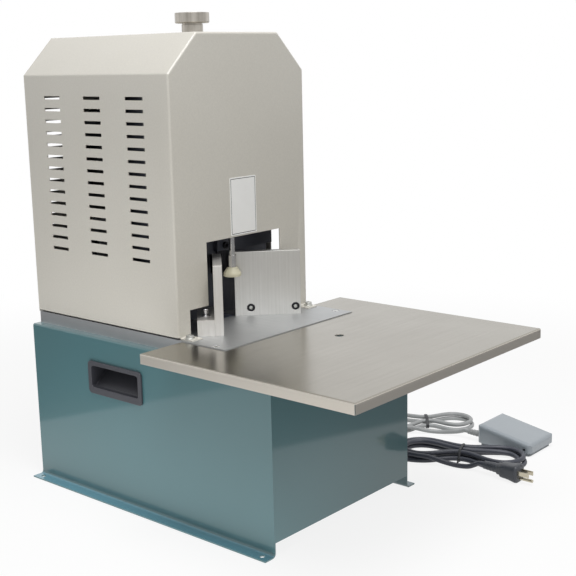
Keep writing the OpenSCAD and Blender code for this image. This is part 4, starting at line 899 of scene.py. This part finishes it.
def tubeAlong(bm, pts, radius, sides=8):
    rings = []
    for i, p in enumerate(pts):
        ahead = (pts[min(i + 1, len(pts) - 1)] - pts[max(i - 1, 0)]).normalized()
        side = ahead.cross(Vector((0, 0, 1)))
        side = side.normalized() if side.length > 0.001 else Vector((1, 0, 0))
        up = side.cross(ahead)
        rings.append([(p + (side * math.cos(a) + up * math.sin(a)) * radius) * mm
                      for a in (math.tau * k / sides for k in range(sides))])
    skinRings(bm, rings)


# the tie's two ends, twisted round each other and ending in a small loop on the floor
def addTwist(bm, h, w, near):
    start = near.x - h["cordMm"] / 2 - w["from"]
    across, up = w["apart"]
    for phase in (0, math.pi):
        pts = []
        for k in range(w["points"]):
            f = k / (w["points"] - 1)
            a = phase + math.tau * w["turns"] * f
            drop = near.y * (1 - f) ** w["fall"] + w["high"]
            pts.append(onHank(h, (across * math.cos(a), start - w["long"] * f,
                                  drop + up * math.sin(a) * (1 - f * w["closing"]))))
        tubeAlong(bm, pts, w["wire"])
    turns = [math.tau * k / w["loopPoints"] for k in range(w["loopPoints"] + 1)]
    tubeAlong(bm, [onHank(h, (w["loop"] * math.cos(a), start - w["loopAt"] + w["loop"] * math.sin(a),
                              w["loopHigh"])) for a in turns], w["wire"])


def buildTie(h, t, replaced=()):
    spots = [hankPoint(h, n + f) for n in range(h["turns"]) for f in (0.125, 0.625)]  # waist of each loop
    middles = [Vector((y, z)) for x, y, z in spots]
    inner = h["cordMm"] / 2 + tieFit["slack"]
    bm = bmesh.new()
    rings = []
    for k in range(tieFit["steps"]):
        a = math.tau * k / tieFit["steps"]
        way = Vector((math.cos(a), math.sin(a)))
        best = max(middles, key=lambda c: c.dot(way))
        ring = []
        for along, out in roundedOutline(t["wide"], t["thick"], t["thick"] * tieFit["cornerShare"], 3):
            spot = best + way * (inner + t["thick"] / 2 + out)
            ring.append(onHank(h, (along, spot.x, max(spot.y, tieFit["offFloor"]))) * mm)
        rings.append(ring)
    skinRings(bm, rings, closed=True)
    if t["twisted"]:
        addTwist(bm, h, twist, min(middles, key=lambda c: c.x))
    smoothAll(bm, tieFit["sharpDegrees"])
    return meshPiece(t["name"], bm, [glandRubber], "frame", replaced)


twistTie = buildTie(mainsLine, mainsTie, ("cord_ties",))
cordBand = buildTie(pedalLine, pedalTie)


ribPoints = 6  # points along one rib of a bend relief


# how far a ribbed taper dips at a share of its length
def ribWave(ribs, f):
    return 0.5 - 0.5 * math.cos(math.tau * ribs * f)


# plug: ribbed bend relief, a stepped collar, then a squarish body that widens to its face
plug = {"bootLong": 22, "bootRoot": 6.2, "bootEnd": 7.6, "ribs": 4, "ribDeep": 0.8, "collar": 8.6,
        "collarLong": 7.5, "bodyBack": 10.6, "bodyFront": 13.4, "bodyLong": 34, "bodySteps": 8,
        "bodySquare": 3.6, "faceRound": 1.5, "grip": 0.6, "sharpDegrees": 50}


def buildPlug(p, line):
    tail = line["end"]
    steps = []  # distance along, half size, squareness of the section
    count = p["ribs"] * ribPoints
    for k in range(count + 1):
        f = k / count
        size = p["bootRoot"] + (p["bootEnd"] - p["bootRoot"]) * f - p["ribDeep"] * ribWave(p["ribs"], f) * 0.5
        steps.append((f * p["bootLong"], size, 2.0))
    far, collar, front, square = p["bootLong"], p["collar"], p["bodyFront"], p["bodySquare"]
    body = far + p["collarLong"]
    steps += [(far + 0.2, collar - 1.0, 2.3), (far + 1.2, collar, 2.5), (far + 6, collar + 0.3, 2.8),
              (body, p["bodyBack"], 3.2)]
    for k in range(1, p["bodySteps"] + 1):
        f = k / p["bodySteps"]
        dip = p["grip"] * math.sin(math.pi * f) ** 2
        along = body + (p["bodyLong"] - p["collarLong"] - p["faceRound"]) * f
        steps.append((along, p["bodyBack"] + (front - p["bodyBack"]) * f - dip, square))
    end = far + p["bodyLong"]
    steps += [(end + 0.6, front - 0.3, square), (end + 1.6, front - 1.4, square)]
    reach = (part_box("plug_body")[1].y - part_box("plug_body")[0].y) / mm / steps[-1][0]
    bm = bmesh.new()
    rings = []
    for along, size, square in steps:
        ring = []
        for k in range(turnSteps):
            a = math.tau * k / turnSteps
            x, z = (math.copysign(abs(v) ** (2 / square), v) * size for v in (math.cos(a), math.sin(a)))
            ring.append(Vector((tail.x + x, tail.y - along * reach, tail.z + z)) * mm)
        rings.append(ring)
    skinRings(bm, rings)
    smoothAll(bm, p["sharpDegrees"])
    return meshPiece("mouldedPlug", bm, [plugVinyl], "frame", ("plug_body",))


mouldedPlug = buildPlug(plug, mainsLine)


# bend reliefs where the cords leave the cabinet and enter the pedal: rounded flange, then a ribbed taper
cabinetRelief = {"flange": 20, "flangeLong": 5, "root": 13.5, "ribs": 5, "ribDeep": 0.9, "long": 34}
treadleRelief = {"flange": 14, "flangeLong": 4.6, "root": 11.5, "ribs": 5, "ribDeep": 0.8, "long": 30.2}
reliefWall = {"end": 1, "least": 0.25, "sharpDegrees": 50}


def buildRelief(name, g, end, axis, cordMm, finish, replaced=()):
    r, root, cord, flange = g["flange"] / 2, g["root"] / 2, cordMm / 2, g["flangeLong"]
    steps = [(r - 0.8, 0), (r, 0.8), (r, flange - 1), (r - 0.3, flange - 0.3), (r - 1, flange),
             (root, flange)]
    count, taper = g["ribs"] * ribPoints, g["long"] - flange
    for k in range(1, count + 1):
        f = k / count
        dip = g["ribDeep"] * ribWave(g["ribs"], f) * (1 - 0.5 * f)
        size = root + (cord + reliefWall["end"] - root) * f - dip
        steps.append((max(size, cord + reliefWall["least"]), flange + taper * f))
    bm = bmesh.new()
    turnedSkin(bm, Vector(end) - Vector(axis) * g["long"], axis, steps)
    smoothAll(bm, reliefWall["sharpDegrees"])
    meshPiece(name, bm, [finish], "frame", replaced)


buildRelief("mainsRelief", cabinetRelief, mainsLine["start"], (1, 0, 0), mainsLine["cordMm"], glandRubber,
            ("cord_glands",))
buildRelief("pedalCordRelief", cabinetRelief, pedalLine["start"], (1, 0, 0), pedalLine["cordMm"], greyRubber)
buildRelief("pedalRelief", treadleRelief, pedalLine["end"], (0, 1, 0), pedalLine["cordMm"], greyRubber)
print("ties, plug and reliefs made")
